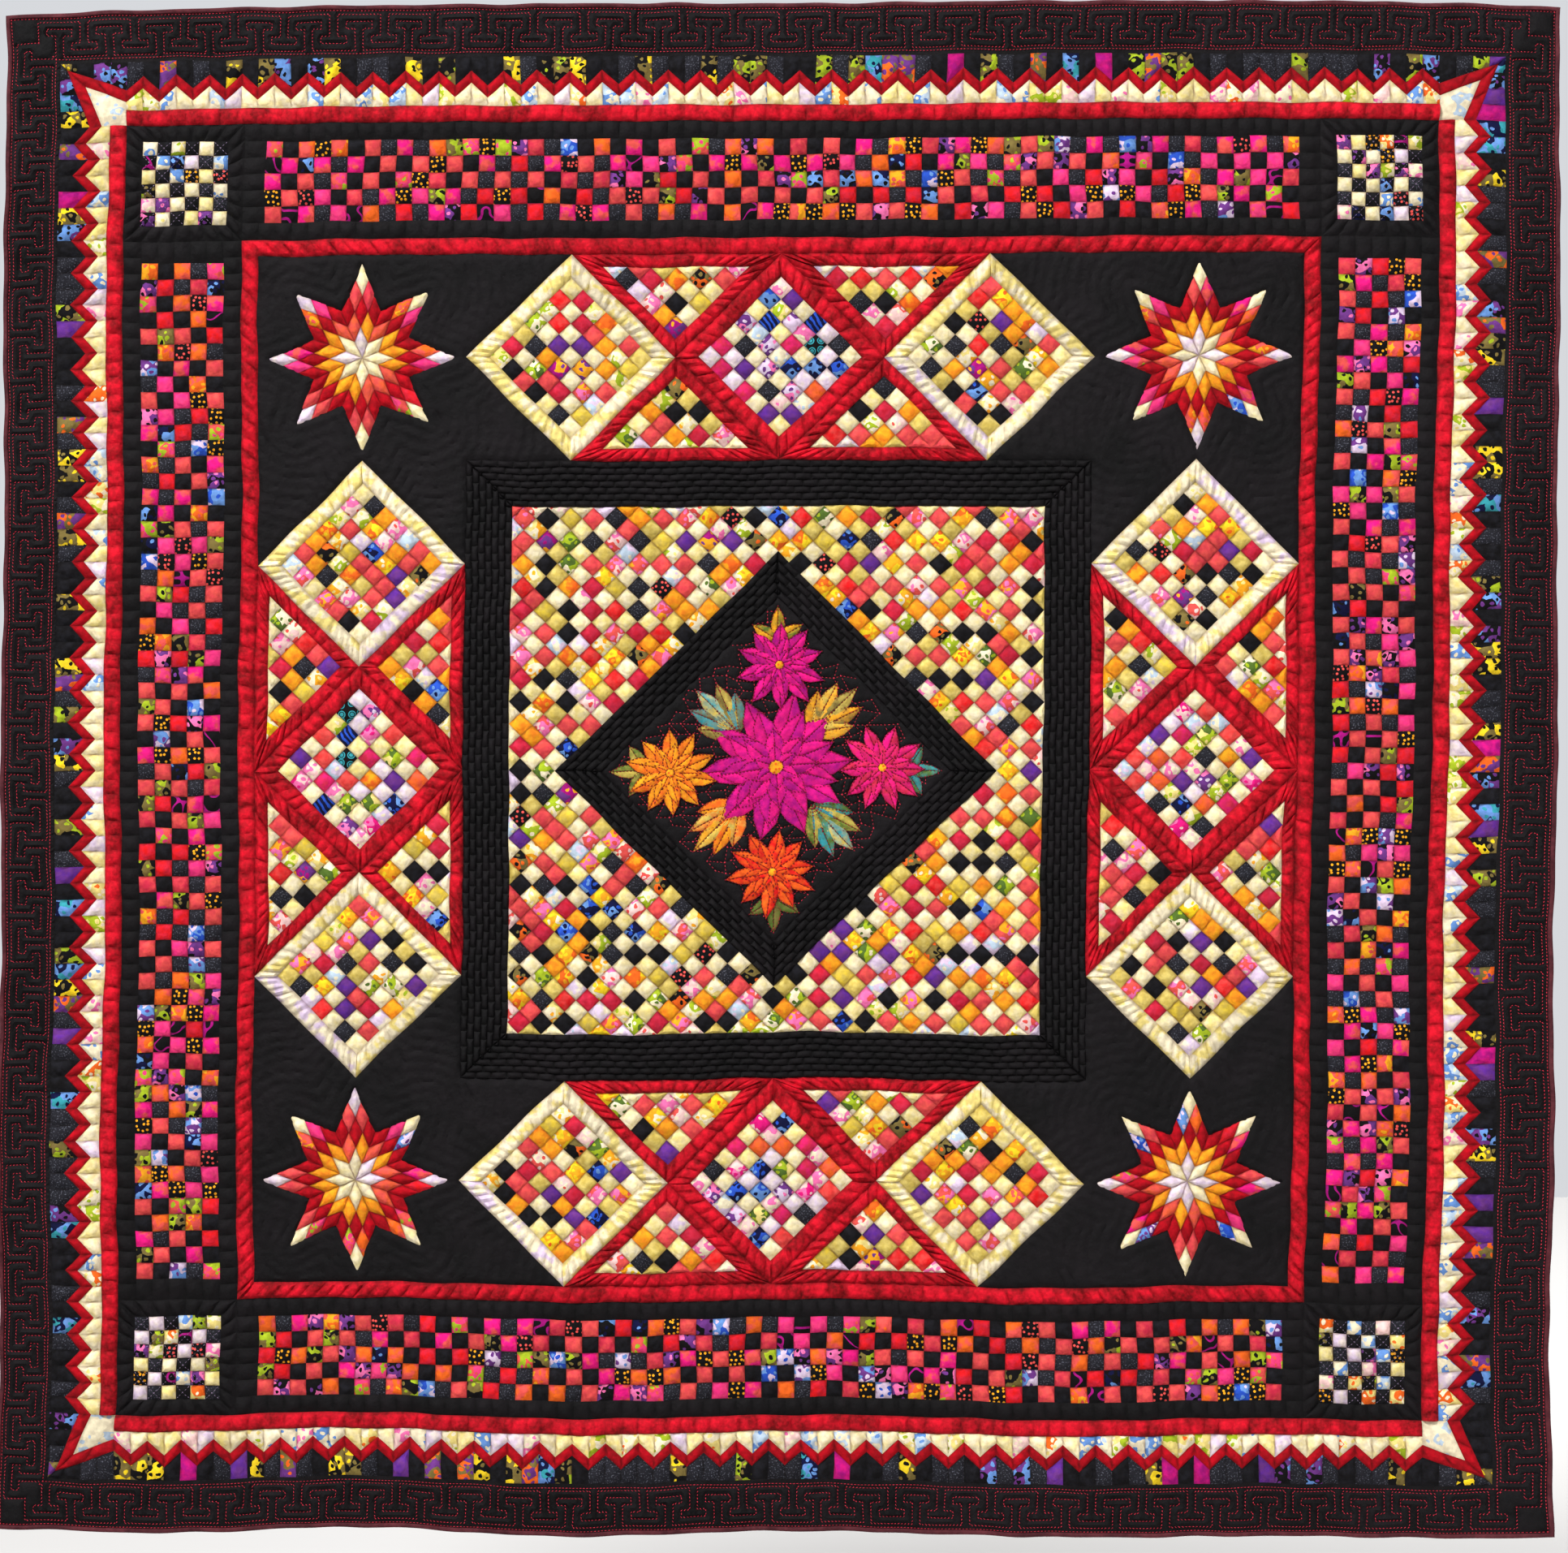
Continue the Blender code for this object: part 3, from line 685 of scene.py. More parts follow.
def strip_cloth(name, strips, height_at, step, rows, nodes, slot, cloth=None, prints=None, seed=1):
    """Strips of cloth, each a four-cornered panel, whose padding height_at gives at each point.

    A strip runs from its first corner to its second. height_at takes the distance along it, the
    share of the way across it, its width and its number. The strips share one cloth, or each
    has its own print.
    """
    flat, faces, owners, behind = [], [], [], []
    first = 0
    for number, quad in enumerate(strips):
        a, b, c, d = (np.array(corner) for corner in quad)
        length = math.dist(quad[0], quad[1])
        width = math.dist(part_way(quad[0], quad[1], 0.5), part_way(quad[3], quad[2], 0.5))
        columns = max(2, round(length / step))
        s, t = np.meshgrid(np.linspace(0, 1, columns + 1), np.linspace(0, 1, rows + 1), indexing="ij")
        s, t = s.ravel(), t.ravel()
        low = a + s[:, None] * (b - a)
        place = low + t[:, None] * (d + s[:, None] * (c - d) - low)
        flat.append(np.column_stack((place, height_at(s * length, t, width, number))))
        rims = place.reshape(columns + 1, rows + 1, 2)[:, (0, rows)].reshape(-1, 2)
        flat.append(np.column_stack((rims, np.full(len(rims), -BACK))))
        back = first + len(place)
        started = len(faces)
        for i in range(columns):
            p, q, r = first + i * (rows + 1), first + (i + 1) * (rows + 1), back + 2 * i
            faces += [(p + j, q + j, q + j + 1, p + j + 1) for j in range(rows)]
            faces.append((p, r, r + 2, q))
            faces.append((q + rows, r + 3, r + 1, p + rows))
            behind.append(len(faces))
            faces.append((r, r + 1, r + 3, r + 2))
        end, last = first + columns * (rows + 1), back + 2 * columns
        faces.append((first + rows, back + 1, back, *range(first, first + rows)))
        faces.append((end, last, last + 1, *range(end + rows, end, -1)))
        owners += [number] * (len(faces) - started)
        first = last + 2
    flat = np.vstack(flat)
    mesh = hung_mesh(name, flat, faces, (cloth or PATCHWORK, BACKING), behind)
    # Painted shade: the cloth is painted darker in the creases and along the strip's edges, where the
    # padding is low.
    mark_ditch_shade(mesh, flat[:, 2], STRONGEST_DITCH_SHADE)
    if prints:
        lay_prints(mesh, prints, owners, seed)
    return finish_piece(name, mesh, nodes, slot)


CREASE = 0.0031
STRIP_PUFF = 1.4 * PUFF
PUCKER_SHARE = 0.07
STRIP_STEP = 0.0034


def ribbed(pitch, depth):
    """A strip quilted across at uneven places, so that it puffs and puckers in between."""
    def height_at(along, t, width, number):
        slant = 0.15 * width * (t - 0.5) * np.sin(1.3 * number + along / 0.09)
        here = (along + slant) / pitch + 0.22 * np.sin(along / (1.7 * pitch) + 1.7 * number)
        crease = np.exp(-(np.abs(here - np.round(here)) * pitch / CREASE) ** 2)
        uneven = 0.8 + 0.2 * np.sin(2.3 * here + number)
        bend = 3 * np.sin(along / pitch + 5 * t)
        pucker = np.sin(2 * math.pi * (along + 0.5 * width * t) / (0.31 * pitch) + bend)
        crown = (1 - np.abs(2 * t - 1) ** 2.4) ** 0.6
        return SEAM + STRIP_PUFF * crown * (1 - depth * uneven * crease + PUCKER_SHARE * pucker)
    return height_at


def frame_of(outer, inner):
    """Mitred strips between two outlines with the same number of corners."""
    count = len(outer)
    return [(outer[i], outer[(i + 1) % count], inner[(i + 1) % count], inner[i]) for i in range(count)]


RED = dyed_material("scarlet cotton", (226, 20, 44), (122, 2, 16), 0.75, 0.012)
frame_rng = random.Random(14)
cream_frames, red_frames = [], []
for quarters in range(4):
    for u in (CELL, 0.0, -CELL):
        outer = turned(diamond(u, CELL / 2), quarters)
        inner = turned(diamond(u, FRAME_SHARE * CELL / 2), quarters)
        (cream_frames if u else red_frames).extend(frame_of(outer, inner))
cream_nodes = [node for node in block_nodes if not node.endswith("_2")]
red_nodes = [node for node in block_nodes if node.endswith("_2")]
cream_prints = [cut_print(frame_rng, "pale_frame") for _ in cream_frames]
strip_cloth("cream_block_frames", cream_frames, ribbed(pitch=0.0115, depth=0.7), step=0.0028, rows=5,
            nodes=cream_nodes, slot="cream_cotton", prints=cream_prints, seed=15)
strip_cloth("red_block_frames", red_frames, ribbed(pitch=0.0165, depth=0.9), step=0.003, rows=5,
            nodes=red_nodes, slot="red_cotton", cloth=RED)

# The setting triangles: pieced cotton that fills the ring between the blocks. Each has a narrow
# red frame and small squares set level with the blocks, cut to half squares along the long side,
# and is sewn to the blocks and quilted along its seams.
RING_REACH = 2.5 * CELL
MEDALLION_REACH = 1.5 * CELL
TRIANGLE_FRAME = 0.8 * SQUARE
TRIANGLE_SQUARES = 6


def inset(outline, distance):
    """The outline moved inwards by that distance, corner by corner."""
    moved = []
    for i, corner in enumerate(outline):
        here = Vector(corner)
        before = (here - Vector(outline[i - 1])).normalized()
        after = (Vector(outline[(i + 1) % len(outline)]) - here).normalized()
        inward = Vector((-before.y - after.y, before.x + after.x))
        moved.append(tuple(here + inward * (distance / (1 + before.dot(after)))))
    return moved


def triangle_patches(outline, rng):
    """Half of a square of patches, whose first corner is the right angle."""
    tip, first, second = outline
    patches = []
    for i in range(TRIANGLE_SQUARES):
        for j in range(TRIANGLE_SQUARES - i):
            corners = []
            for s, t in cell_corners(i, j):
                if s + t <= TRIANGLE_SQUARES:
                    shares = s / TRIANGLE_SQUARES, t / TRIANGLE_SQUARES
                    corners.append(tuple(
                        tip[k] + (first[k] - tip[k]) * shares[0] + (second[k] - tip[k]) * shares[1]
                        for k in (0, 1)
                    ))
            patches.append((corners, cut_print(rng, ("garden", "pale")[(i + j) % 2])))
    return patches


triangle_rng = random.Random(21)
triangle_nodes, triangle_strips, triangle_squares = [], [], []
for quarters, side in enumerate(SIDE_NAMES):
    for number, u in ((1, CELL / 2), (2, -CELL / 2)):
        tip = (u, 2 * CELL)
        right, left = u + CELL / 2, u - CELL / 2
        shapes = (("outer", [tip, (right, RING_REACH), (left, RING_REACH)]),
                  ("inner", [tip, (left, MEDALLION_REACH), (right, MEDALLION_REACH)]))
        for place, shape in shapes:
            outer = turned(shape, quarters)
            inner = inset(outer, TRIANGLE_FRAME)
            triangle_nodes.append(f"{place}_triangle_{side}_{number}")
            triangle_strips += frame_of(outer, inner)
            triangle_squares += triangle_patches(inner, triangle_rng)
strip_cloth("triangle_frames", triangle_strips, ribbed(pitch=0.0165, depth=0.9), step=STRIP_STEP, rows=4,
            nodes=triangle_nodes, slot="red_cotton", cloth=RED)
patchwork("triangle_squares", triangle_squares, (), "dark_checks", seed=22)

# The ring's corners: black cotton round an eight-pointed star of small diamonds. The black is
# quilted in ridges that follow the star's outline outwards.
STAR_DIAMONDS = 3
STAR_DIAMOND = 0.0200
ECHO_SPACING = 0.0125
ECHO_WANDER = 0.0016
GROUND_STEP = 0.0044
DRAWN_DOWN = 0.0022
UNDER_STAR = 0.0012


def ring_corner():
    low, middle, inner, outer = CELL, 2 * CELL, MEDALLION_REACH, RING_REACH
    return [
        (inner, inner), (inner, low), (middle, inner), (outer, low),
        (outer, outer), (low, outer), (inner, middle), (low, inner),
    ]


def around(middle, reach, angle):
    """The point at that distance and angle from the middle."""
    return (middle[0] + reach * math.cos(angle), middle[1] + reach * math.sin(angle))


def raised(distance, reach):
    """How far padding stands up, from 0 to 1, at that distance from what sews it down."""
    return 1 - np.exp(-distance / reach)


def distance_to_lines(points, lines):
    """The distance from each point to the nearest of the lines, each a pair of points."""
    nearest = np.full(len(points), 1.0)
    for start, end in lines:
        start, along = np.array(start), np.array(end) - np.array(start)
        share = np.clip((points - start) @ along / (along @ along), 0, 1)
        nearest = np.minimum(nearest, np.linalg.norm(points - start - share[:, None] * along, axis=1))
    return nearest


def inside(points, outline):
    """Whether each point is inside the outline."""
    odd = np.zeros(len(points), dtype=bool)
    for (u0, v0), (u1, v1) in closed_lines(outline):
        crosses = (v0 > points[:, 1]) != (v1 > points[:, 1])
        reach = u0 + (u1 - u0) * (points[:, 1] - v0) / (v1 - v0 if v1 != v0 else 1)
        odd ^= crosses & (points[:, 0] < reach)
    return odd


def stepped_line(line, longest):
    """The points of an open line, with more between them so that no step is longer than that."""
    points = []
    for start, end in zip(line, line[1:]):
        parts = max(1, math.ceil(math.dist(start, end) / longest))
        points += [part_way(start, end, k / parts) for k in range(parts)]
    return points + [line[-1]]


def cloth_panel(name, panels, height_at, step, nodes, slot, cloth):
    """Panels of one cloth, each an outline and the lines sewn across it.

    height_at gives the padding at each point of the panel with that number.
    """
    flat, faces, behind = [], [], []
    first = 0
    for number, (outline, sewn) in enumerate(panels):
        rim = stepped_line(list(outline) + [outline[0]], step * 1.3)[:-1]
        us, vs = [p[0] for p in outline], [p[1] for p in outline]
        rows = np.arange(min(vs) + step, max(vs), step * 0.866)
        grid = np.array([(u + (row % 2) * step / 2, v) for row, v in enumerate(rows)
                         for u in np.arange(min(us) + step, max(us), step)])
        grid = grid[inside(grid, outline)]
        lines = closed_lines(outline) + [pair for line in sewn for pair in zip(line, line[1:])]
        free = [Vector(p) for p in grid[distance_to_lines(grid, lines) > 0.55 * step]]
        points = [Vector(p) for p in rim]
        edges = closed_lines(list(range(len(rim))))
        for line in sewn:
            start = len(points)
            points += [Vector(p) for p in stepped_line(line, step)]
            edges += [(k, k + 1) for k in range(start, len(points) - 1)]
        made, _, front, _, _, _ = delaunay_2d_cdt(points + free, edges, [], 1, 1e-6)
        rim_edges = closed_lines(list(range(len(rim))))
        sparse = [Vector(p) for p in rim] + free[::29]
        coarse, _, back, _, _, _ = delaunay_2d_cdt(sparse, rim_edges, [], 1, 1e-6)
        place, under_place = (np.array([tuple(p) for p in found]) for found in (made, coarse))
        flat.append(np.column_stack((place, height_at(place, outline, number))))
        flat.append(np.column_stack((under_place, np.full(len(under_place), -BACK))))
        under = first + len(place)
        faces += [tuple(first + i for i in face) for face in front]
        behind += range(len(faces), len(faces) + len(back))
        faces += [tuple(under + i for i in reversed(face)) for face in back]
        faces += [(first + j, first + i, under + i, under + j) for i, j in rim_edges]
        first = under + len(under_place)
    mesh = hung_mesh(name, np.vstack(flat), faces, (cloth, BACKING), behind)
    return finish_piece(name, mesh, nodes, slot)


def star_diamonds(middle):
    """The star's eight points, each of small diamonds, as (ring, corners)."""
    diamonds = []
    for k in range(8):
        angles = [math.radians(22.5 + 45 * (k + n)) for n in (0, 1)]
        first, second = [around((0, 0), STAR_DIAMOND, angle) for angle in angles]
        for i in range(STAR_DIAMONDS):
            for j in range(STAR_DIAMONDS):
                corners = [
                    (middle[0] + s * first[0] + t * second[0], middle[1] + s * first[1] + t * second[1])
                    for s, t in cell_corners(i, j)
                ]
                diamonds.append((i + j, corners))
    return diamonds


def star_outline(middle):
    """The star's sixteen corners, anticlockwise from the first valley."""
    points = []
    for k in range(8):
        valley, tip = math.radians(22.5 + 45 * k), math.radians(45 + 45 * k)
        reach = STAR_DIAMONDS * STAR_DIAMOND
        tip_reach = 2 * reach * math.cos(math.radians(22.5))
        points += [around(middle, reach, valley), around(middle, tip_reach, tip)]
    return points


BLACK_COTTON = dyed_material("black cotton", (23, 19, 22), (10, 8, 10), 0.7, 0.05)
star_rng = random.Random(31)
star_patches, star_middles = [], []
for quarters in range(4):
    (middle,) = turned([(2 * CELL, 2 * CELL)], quarters)
    star_middles.append(middle)
    for ring, corners in star_diamonds(middle):
        family = ("star_tip", "star_warm", "red", "bright", "star_tip")[ring]
        star_patches.append((corners, cut_print(star_rng, family)))


def echo_ridges(place, outline, number):
    """Ridges that echo the star outwards, sewn down at the panel's seams and round the star."""
    star = star_outline(star_middles[number])
    from_star = distance_to_lines(place, closed_lines(star))
    from_seam = distance_to_lines(place, closed_lines(outline))
    wander = ECHO_WANDER * np.sin(place[:, 0] * 90 + 2) * np.sin(place[:, 1] * 80)
    ridges = np.abs(np.sin(math.pi * (from_star + wander) / ECHO_SPACING)) ** 0.6
    height = SEAM + 0.95 * PUFF * raised(from_seam, DRAWN_DOWN) * (0.25 + 0.75 * ridges)
    return np.where(inside(place, star), UNDER_STAR, height)


star_nodes = [f"star_corner_{corner}" for corner in CORNER_NAMES]
corner_panels = [(turned(ring_corner(), quarters), []) for quarters in range(4)]
cloth_panel("star_grounds", corner_panels, echo_ridges, step=GROUND_STEP, nodes=star_nodes,
            slot="black_cotton", cloth=BLACK_COTTON)
patchwork("stars", star_patches, (), "bright_checks", seam=SEAM + 0.0004, back=-BACK, seed=32)

# The medallion's black frame, and the black band on point inside it. Both are quilted in short
# bricks, so the plain cloth reads as basket work.
FRAME_INNER = 23 * SQUARE / math.sqrt(2)
BAND_OUTER = 9.5 * SQUARE
BAND_INNER = 7.5 * SQUARE
BRICK_LENGTH = 0.0180
BRICK_WIDTH = 0.0080
BRICK_RISE = 0.0036


def cut_to(corners, outline):
    """The part of a convex patch that lies inside a convex outline, both anticlockwise."""
    kept = list(corners)
    for (u0, v0), (u1, v1) in closed_lines(outline):
        reach = [(u1 - u0) * (v - v0) - (v1 - v0) * (u - u0) for u, v in kept]
        trimmed = []
        for i, point in enumerate(kept):
            j = (i + 1) % len(kept)
            if reach[i] >= -1e-9:
                trimmed.append(point)
            if (reach[i] > 1e-9) != (reach[j] > 1e-9) and abs(reach[i] - reach[j]) > 1e-12:
                trimmed.append(part_way(point, kept[j], reach[i] / (reach[i] - reach[j])))
        kept = [p for k, p in enumerate(trimmed) if math.dist(p, trimmed[k - 1]) > 1e-5]
        if len(kept) < 3:
            return []
    return kept


def square_outline(reach):
    return [(reach, reach), (-reach, reach), (-reach, -reach), (reach, -reach)]


def on_point(points):
    """Points turned by an eighth of a turn, so that a square stands on its corner."""
    half = math.sqrt(0.5)
    return [((u - v) * half, (u + v) * half) for u, v in points]


def bricks(quad):
    """Brickwork that fills a mitred strip, each row moved on by half a brick."""
    (u, v), (u_end, v_end) = quad[:2]
    width = math.dist(part_way(quad[0], quad[1], 0.5), part_way(quad[3], quad[2], 0.5))
    rows = round(width / BRICK_WIDTH)
    length = math.dist(quad[0], quad[1])
    count = round(length / BRICK_LENGTH)
    along, height = length / count, width / rows
    du, dv = (u_end - u) / length, (v_end - v) / length
    cells = []
    for row in range(rows):
        for k in range(-1, count):
            left = k + 0.5 * (row % 2)
            shares = [(left + half, row) for half in (0, 0.5, 1)]
            shares += [(left + half, row + 1) for half in (1, 0.5, 0)]
            corners = [(u + du * along * s - dv * height * t, v + dv * along * s + du * height * t)
                       for s, t in shares]
            cells.append(cut_to(corners, list(quad)))
    return [cell for cell in cells if cell]


BRICKS = pillow_tree("quilted bricks", ((1.1, 0.55),))
frame_quads = frame_of(square_outline(MEDALLION_REACH), square_outline(FRAME_INNER))
band_quads = frame_of(on_point(square_outline(BAND_OUTER)), on_point(square_outline(BAND_INNER)))
for name, quads, node in (("medallion_frame_bricks", frame_quads, "medallion_frame"),
                          ("medallion_band_bricks", band_quads, "medallion_band")):
    patches = [(cell, cut_print(star_rng, "black")) for quad in quads for cell in bricks(quad)]
    patchwork(name, patches, (node,), "black_cotton", rise=BRICK_RISE, front=BLACK_COTTON, seed=42,
              tree=BRICKS)

# The medallion's ring of checks: small cotton squares on point, pieced between the black frame
# and the black band. Cream and pale yellow ones lie in turn with garden prints, with half squares
# along the frame.
check_rng = random.Random(51)
check_patches = []
ring_outer, ring_inner = 23, 9
ring_outline = [(u * ring_outer * SQUARE, v * ring_outer * SQUARE)
                for u, v in ((0, -1), (1, 0), (0, 1), (-1, 0))]
for i in range(-ring_outer, ring_outer + 1):
    for j in range(-ring_outer, ring_outer + 1):
        if max(abs(i), abs(j)) <= ring_inner or abs(i) + abs(j) > ring_outer:
            continue
        corners = [((i + a) * SQUARE, (j + b) * SQUARE)
                   for a, b in ((-0.5, -0.5), (0.5, -0.5), (0.5, 0.5), (-0.5, 0.5))]
        corners = cut_to(corners, ring_outline)
        if corners:
            check_patches.append((on_point(corners), cut_print(check_rng, ("garden", "pale")[(i + j) % 2])))
patchwork("medallion_squares", check_patches, ("medallion_checks",), "bright_checks", seed=52)

# The flowered panel in the middle: black cotton with large flowers and leaves, padded petal by
# petal. Wine-coloured thread is sewn round each petal, and red thread as an uneven net over the
# black.
STITCH_LENGTH = 0.0040
STITCH_PITCH = 0.0040
STITCH_WIDTH = 0.0009
THREAD_ROUGHNESS = 0.55
THREAD_SHINE = 0.3
NET_PUFF = 0.0022
UNDER_FLOWERS = SEAM - 0.0006
NET_SPACING = 0.0155
NET_ROWS = 19
NET_LIFT = 0.0004
PETAL_STITCH_LIFT = 0.0009
HALF_LEAF_STEPS = (0.0, 0.2, 0.45, 0.74, 1.0)


def stitch_tree():
    """Lays one short stitch after another along drawn lines."""
    tree, ins, outs = new_tree(
        "running stitches", "GeometryNodeTree",
        [("Geometry", "Geometry"), ("Pitch", "Float"), ("Length", "Float"), ("Width", "Float"),
         ("Thread", "Material")],
        ("Geometry", "Geometry"),
    )
    curve = add_output(tree, "GeometryNodeMeshToCurve", {"Mesh": ins["Geometry"]})
    wiring = {"Curve": curve, "Length": ins["Pitch"]}
    points = add_node(tree, "GeometryNodeCurveToPoints", wiring, mode="LENGTH").outputs
    bead = add_node(tree, "GeometryNodeMeshUVSphere", {"Segments": 3, "Rings": 2, "Radius": 0.5})
    bead = bead.outputs["Mesh"]
    wiring = {"X": ins["Length"], "Y": ins["Width"], "Z": ins["Width"]}
    size = add_output(tree, "ShaderNodeCombineXYZ", wiring)
    stitch = add_output(tree, "GeometryNodeTransform", {"Geometry": bead, "Scale": size})
    turn = add_output(tree, "FunctionNodeAlignRotationToVector", {"Vector": points["Tangent"]}, axis="X")
    laid = add_output(tree, "GeometryNodeInstanceOnPoints",
                    {"Points": points["Points"], "Instance": stitch, "Rotation": turn})
    real = add_output(tree, "GeometryNodeRealizeInstances", {"Geometry": laid})
    dressed = add_output(tree, "GeometryNodeSetMaterial", {"Geometry": real, "Material": ins["Thread"]})
    tree.links.new(dressed, outs[0])
    return tree


def thread_material(name, colour, deep):
    """Twisted cotton thread in two close tones."""
    material, tree, place, shader = new_material(name, THREAD_ROUGHNESS, THREAD_SHINE)
    tones = mixed(tree, noise_mask(tree, place, 300, 0.35, 0.65), (*dye(*deep), 1), (*dye(*colour), 1))
    tree.links.new(tones, shader.inputs["Base Color"])
    return material


STITCHES = stitch_tree()
RED_THREAD = thread_material("red thread", (214, 50, 72), (158, 28, 48))
WINE_THREAD = thread_material("wine thread", (132, 10, 38), (92, 4, 22))


def stitched(name, lines, thread, slot="red_cotton", width=STITCH_WIDTH):
    """Sews along lines, each a list of (u, v, height) on the flat quilt."""
    places, edges = [], []
    for line in lines:
        edges += [(len(places) + i, len(places) + i + 1) for i in range(len(line) - 1)]
        places += line
    drawn = bpy.data.meshes.new(name + "_drawn")
    drawn.from_pydata(places, edges, [])
    mesh = apply_tree(drawn, STITCHES, {
        "Pitch": STITCH_PITCH, "Length": STITCH_LENGTH, "Width": width, "Thread": thread,
    })
    return finish_piece(name, mesh, (), slot, crease_angle=180)


def petal_halves(middle, angle, near, far, width, roundness):
    """The two halves of a petal, each a list of corners from near to far along its mid vein."""
    halves = []
    for side in (1, -1):
        vein, rim = [], []
        for s in HALF_LEAF_STEPS:
            along = near + (far - near) * s
            aside = side * width * max(0.0, math.sin(math.pi * s ** 0.85)) ** roundness
            for line, offset in ((vein, 0.0), (rim, aside)):
                line.append((middle[0] + along * math.cos(angle) - offset * math.sin(angle),
                             middle[1] + along * math.sin(angle) + offset * math.cos(angle)))
        halves.append((vein, rim[1:-1]))
    return halves


LEAF, FIRST_RING, SIDE_RING, HEARTS = 0, 1, 2, 5
RING_LIFT = 0.0010
PETAL_RISE = 0.0014
PETAL_ROUNDNESS = 0.62
LEAF_ROUNDNESS = 0.8
PETAL_COUNTS = (10, 9, 8, 6)
FLOWERS = (
    ((0.0, 0.002), 0.090, 0.1, FIRST_RING, ("fuchsia", "magenta")),
    ((-0.122, -0.003), 0.053, 0.4, SIDE_RING, ("orange", "gold")),
    ((0.123, 0.002), 0.052, 0.0, SIDE_RING, ("fuchsia", "rose")),
    ((0.003, 0.122), 0.053, 0.3, SIDE_RING, ("magenta", "fuchsia")),
    ((-0.003, -0.121), 0.053, 0.2, SIDE_RING, ("scarlet", "orange")),
)
HEART_SHARE = 0.1
FAN_ROOT = 0.060
FAN_LEAVES = ((-0.66, 0.050), (-0.33, 0.066), (0.0, 0.074), (0.33, 0.066), (0.66, 0.050))
LEAF_WIDTH = 0.0118
FANS = ((math.radians(46), ("straw", "gold", "olive")), (math.radians(135), ("teal", "olive", "straw")),
        (math.radians(225), ("gold", "orange", "straw")), (math.radians(314), ("straw", "leaf", "teal")))
TIP_REACH = 0.152

layers = [[] for _ in range(HEARTS + 1)]
sewn_rims = [[] for _ in range(HEARTS + 1)]
ground_rims = []


def add_petal(layer, root, angle, length, width, roundness, colours):
    """Cuts a petal's two halves for a layer of the panel, and draws the lines sewn round them."""
    rims = []
    for number, (vein, rim) in enumerate(petal_halves(root, angle, 0.0, length, width, roundness)):
        layers[layer].append((vein + rim[::-1], (PLAIN, colours[number], colours[1 - number])))
        rims.append([vein[0]] + rim + [vein[-1]])
    sewn_rims[layer] += rims + [vein]
    if layer <= SIDE_RING:
        ground_rims.append(rims[0] + rims[1][-2:0:-1])


petal_rng = random.Random(61)
for middle, size, start, first_layer, colours in FLOWERS:
    rings = HEARTS - first_layer
    for ring in range(rings):
        reach = size * (1 - ring / rings) ** 0.85
        count = PETAL_COUNTS[ring]
        for k in range(count):
            angle = start + 2 * math.pi * (k + 0.5 * ring) / count + petal_rng.uniform(-0.06, 0.06)
            length = reach * petal_rng.uniform(0.92, 1.04)
            width = 0.62 * math.pi * reach / count
            add_petal(first_layer + ring, middle, angle, length, width, PETAL_ROUNDNESS, colours)
    heart = [around(middle, HEART_SHARE * size, angle) for angle in np.linspace(0, 2 * math.pi, 9)[:-1]]
    layers[HEARTS].append((heart, (DOTS, "gold", "orange")))
    sewn_rims[HEARTS].append(heart + heart[:1])
for middle_angle, colours in FANS:
    root = around((0, 0), FAN_ROOT, middle_angle)
    for n, (turn, length) in enumerate(FAN_LEAVES):
        pair = (colours[n % 3], colours[(n + 1) % 3])
        add_petal(LEAF, root, middle_angle + turn, length, LEAF_WIDTH, LEAF_ROUNDNESS, pair)
for quarter, colour in enumerate(("teal", "gold", "straw", "olive")):
    root = turned([(TIP_REACH, 0.0)], quarter)[0]
    for turn, length in ((-1.0, 0.034), (0.0, 0.040), (1.0, 0.034)):
        angle = quarter * math.pi / 2 + turn
        add_petal(LEAF, root, angle, length, LEAF_WIDTH * 0.7, LEAF_ROUNDNESS, (colour, "leaf"))

panel_outline = on_point(square_outline(BAND_INNER))
net_rng = random.Random(65)
knots = {}
for row in range(-NET_ROWS, NET_ROWS + 1):
    for column in range(-NET_ROWS, NET_ROWS + 1):
        knots[row, column] = ((column + 0.5 * (row % 2) + net_rng.uniform(-0.28, 0.28)) * NET_SPACING,
                              (0.866 * row + net_rng.uniform(-0.24, 0.24)) * NET_SPACING)
knot_places = np.array(list(knots.values()))
in_panel = inside(knot_places, inset(panel_outline, 0.003))
clear = np.ones(len(knots), dtype=bool)
for rim in ground_rims:
    clear &= ~inside(knot_places, rim)
safe = {key: clear[n] for n, key in enumerate(knots) if in_panel[n]}
net = []
for row, column in knots:
    for key in ((row, column + 1), (row + 1, column)):
        if key in safe and (row, column) in safe and (safe[row, column] or safe[key]):
            net.append([knots[row, column], knots[key]])


def panel_ground(place, outline, number):
    """Low black ground, drawn down along the net, round the flowers and along the seams."""
    rims = [pair for rim in ground_rims for pair in closed_lines(rim)]
    from_sewing = distance_to_lines(place, rims + [tuple(line) for line in net])
    from_seam = distance_to_lines(place, closed_lines(outline))
    height = SEAM + NET_PUFF * raised(from_seam, 0.002) * raised(from_sewing, 0.0018)
    for rim in ground_rims:
        height = np.where(inside(place, rim), UNDER_FLOWERS, height)
    return height


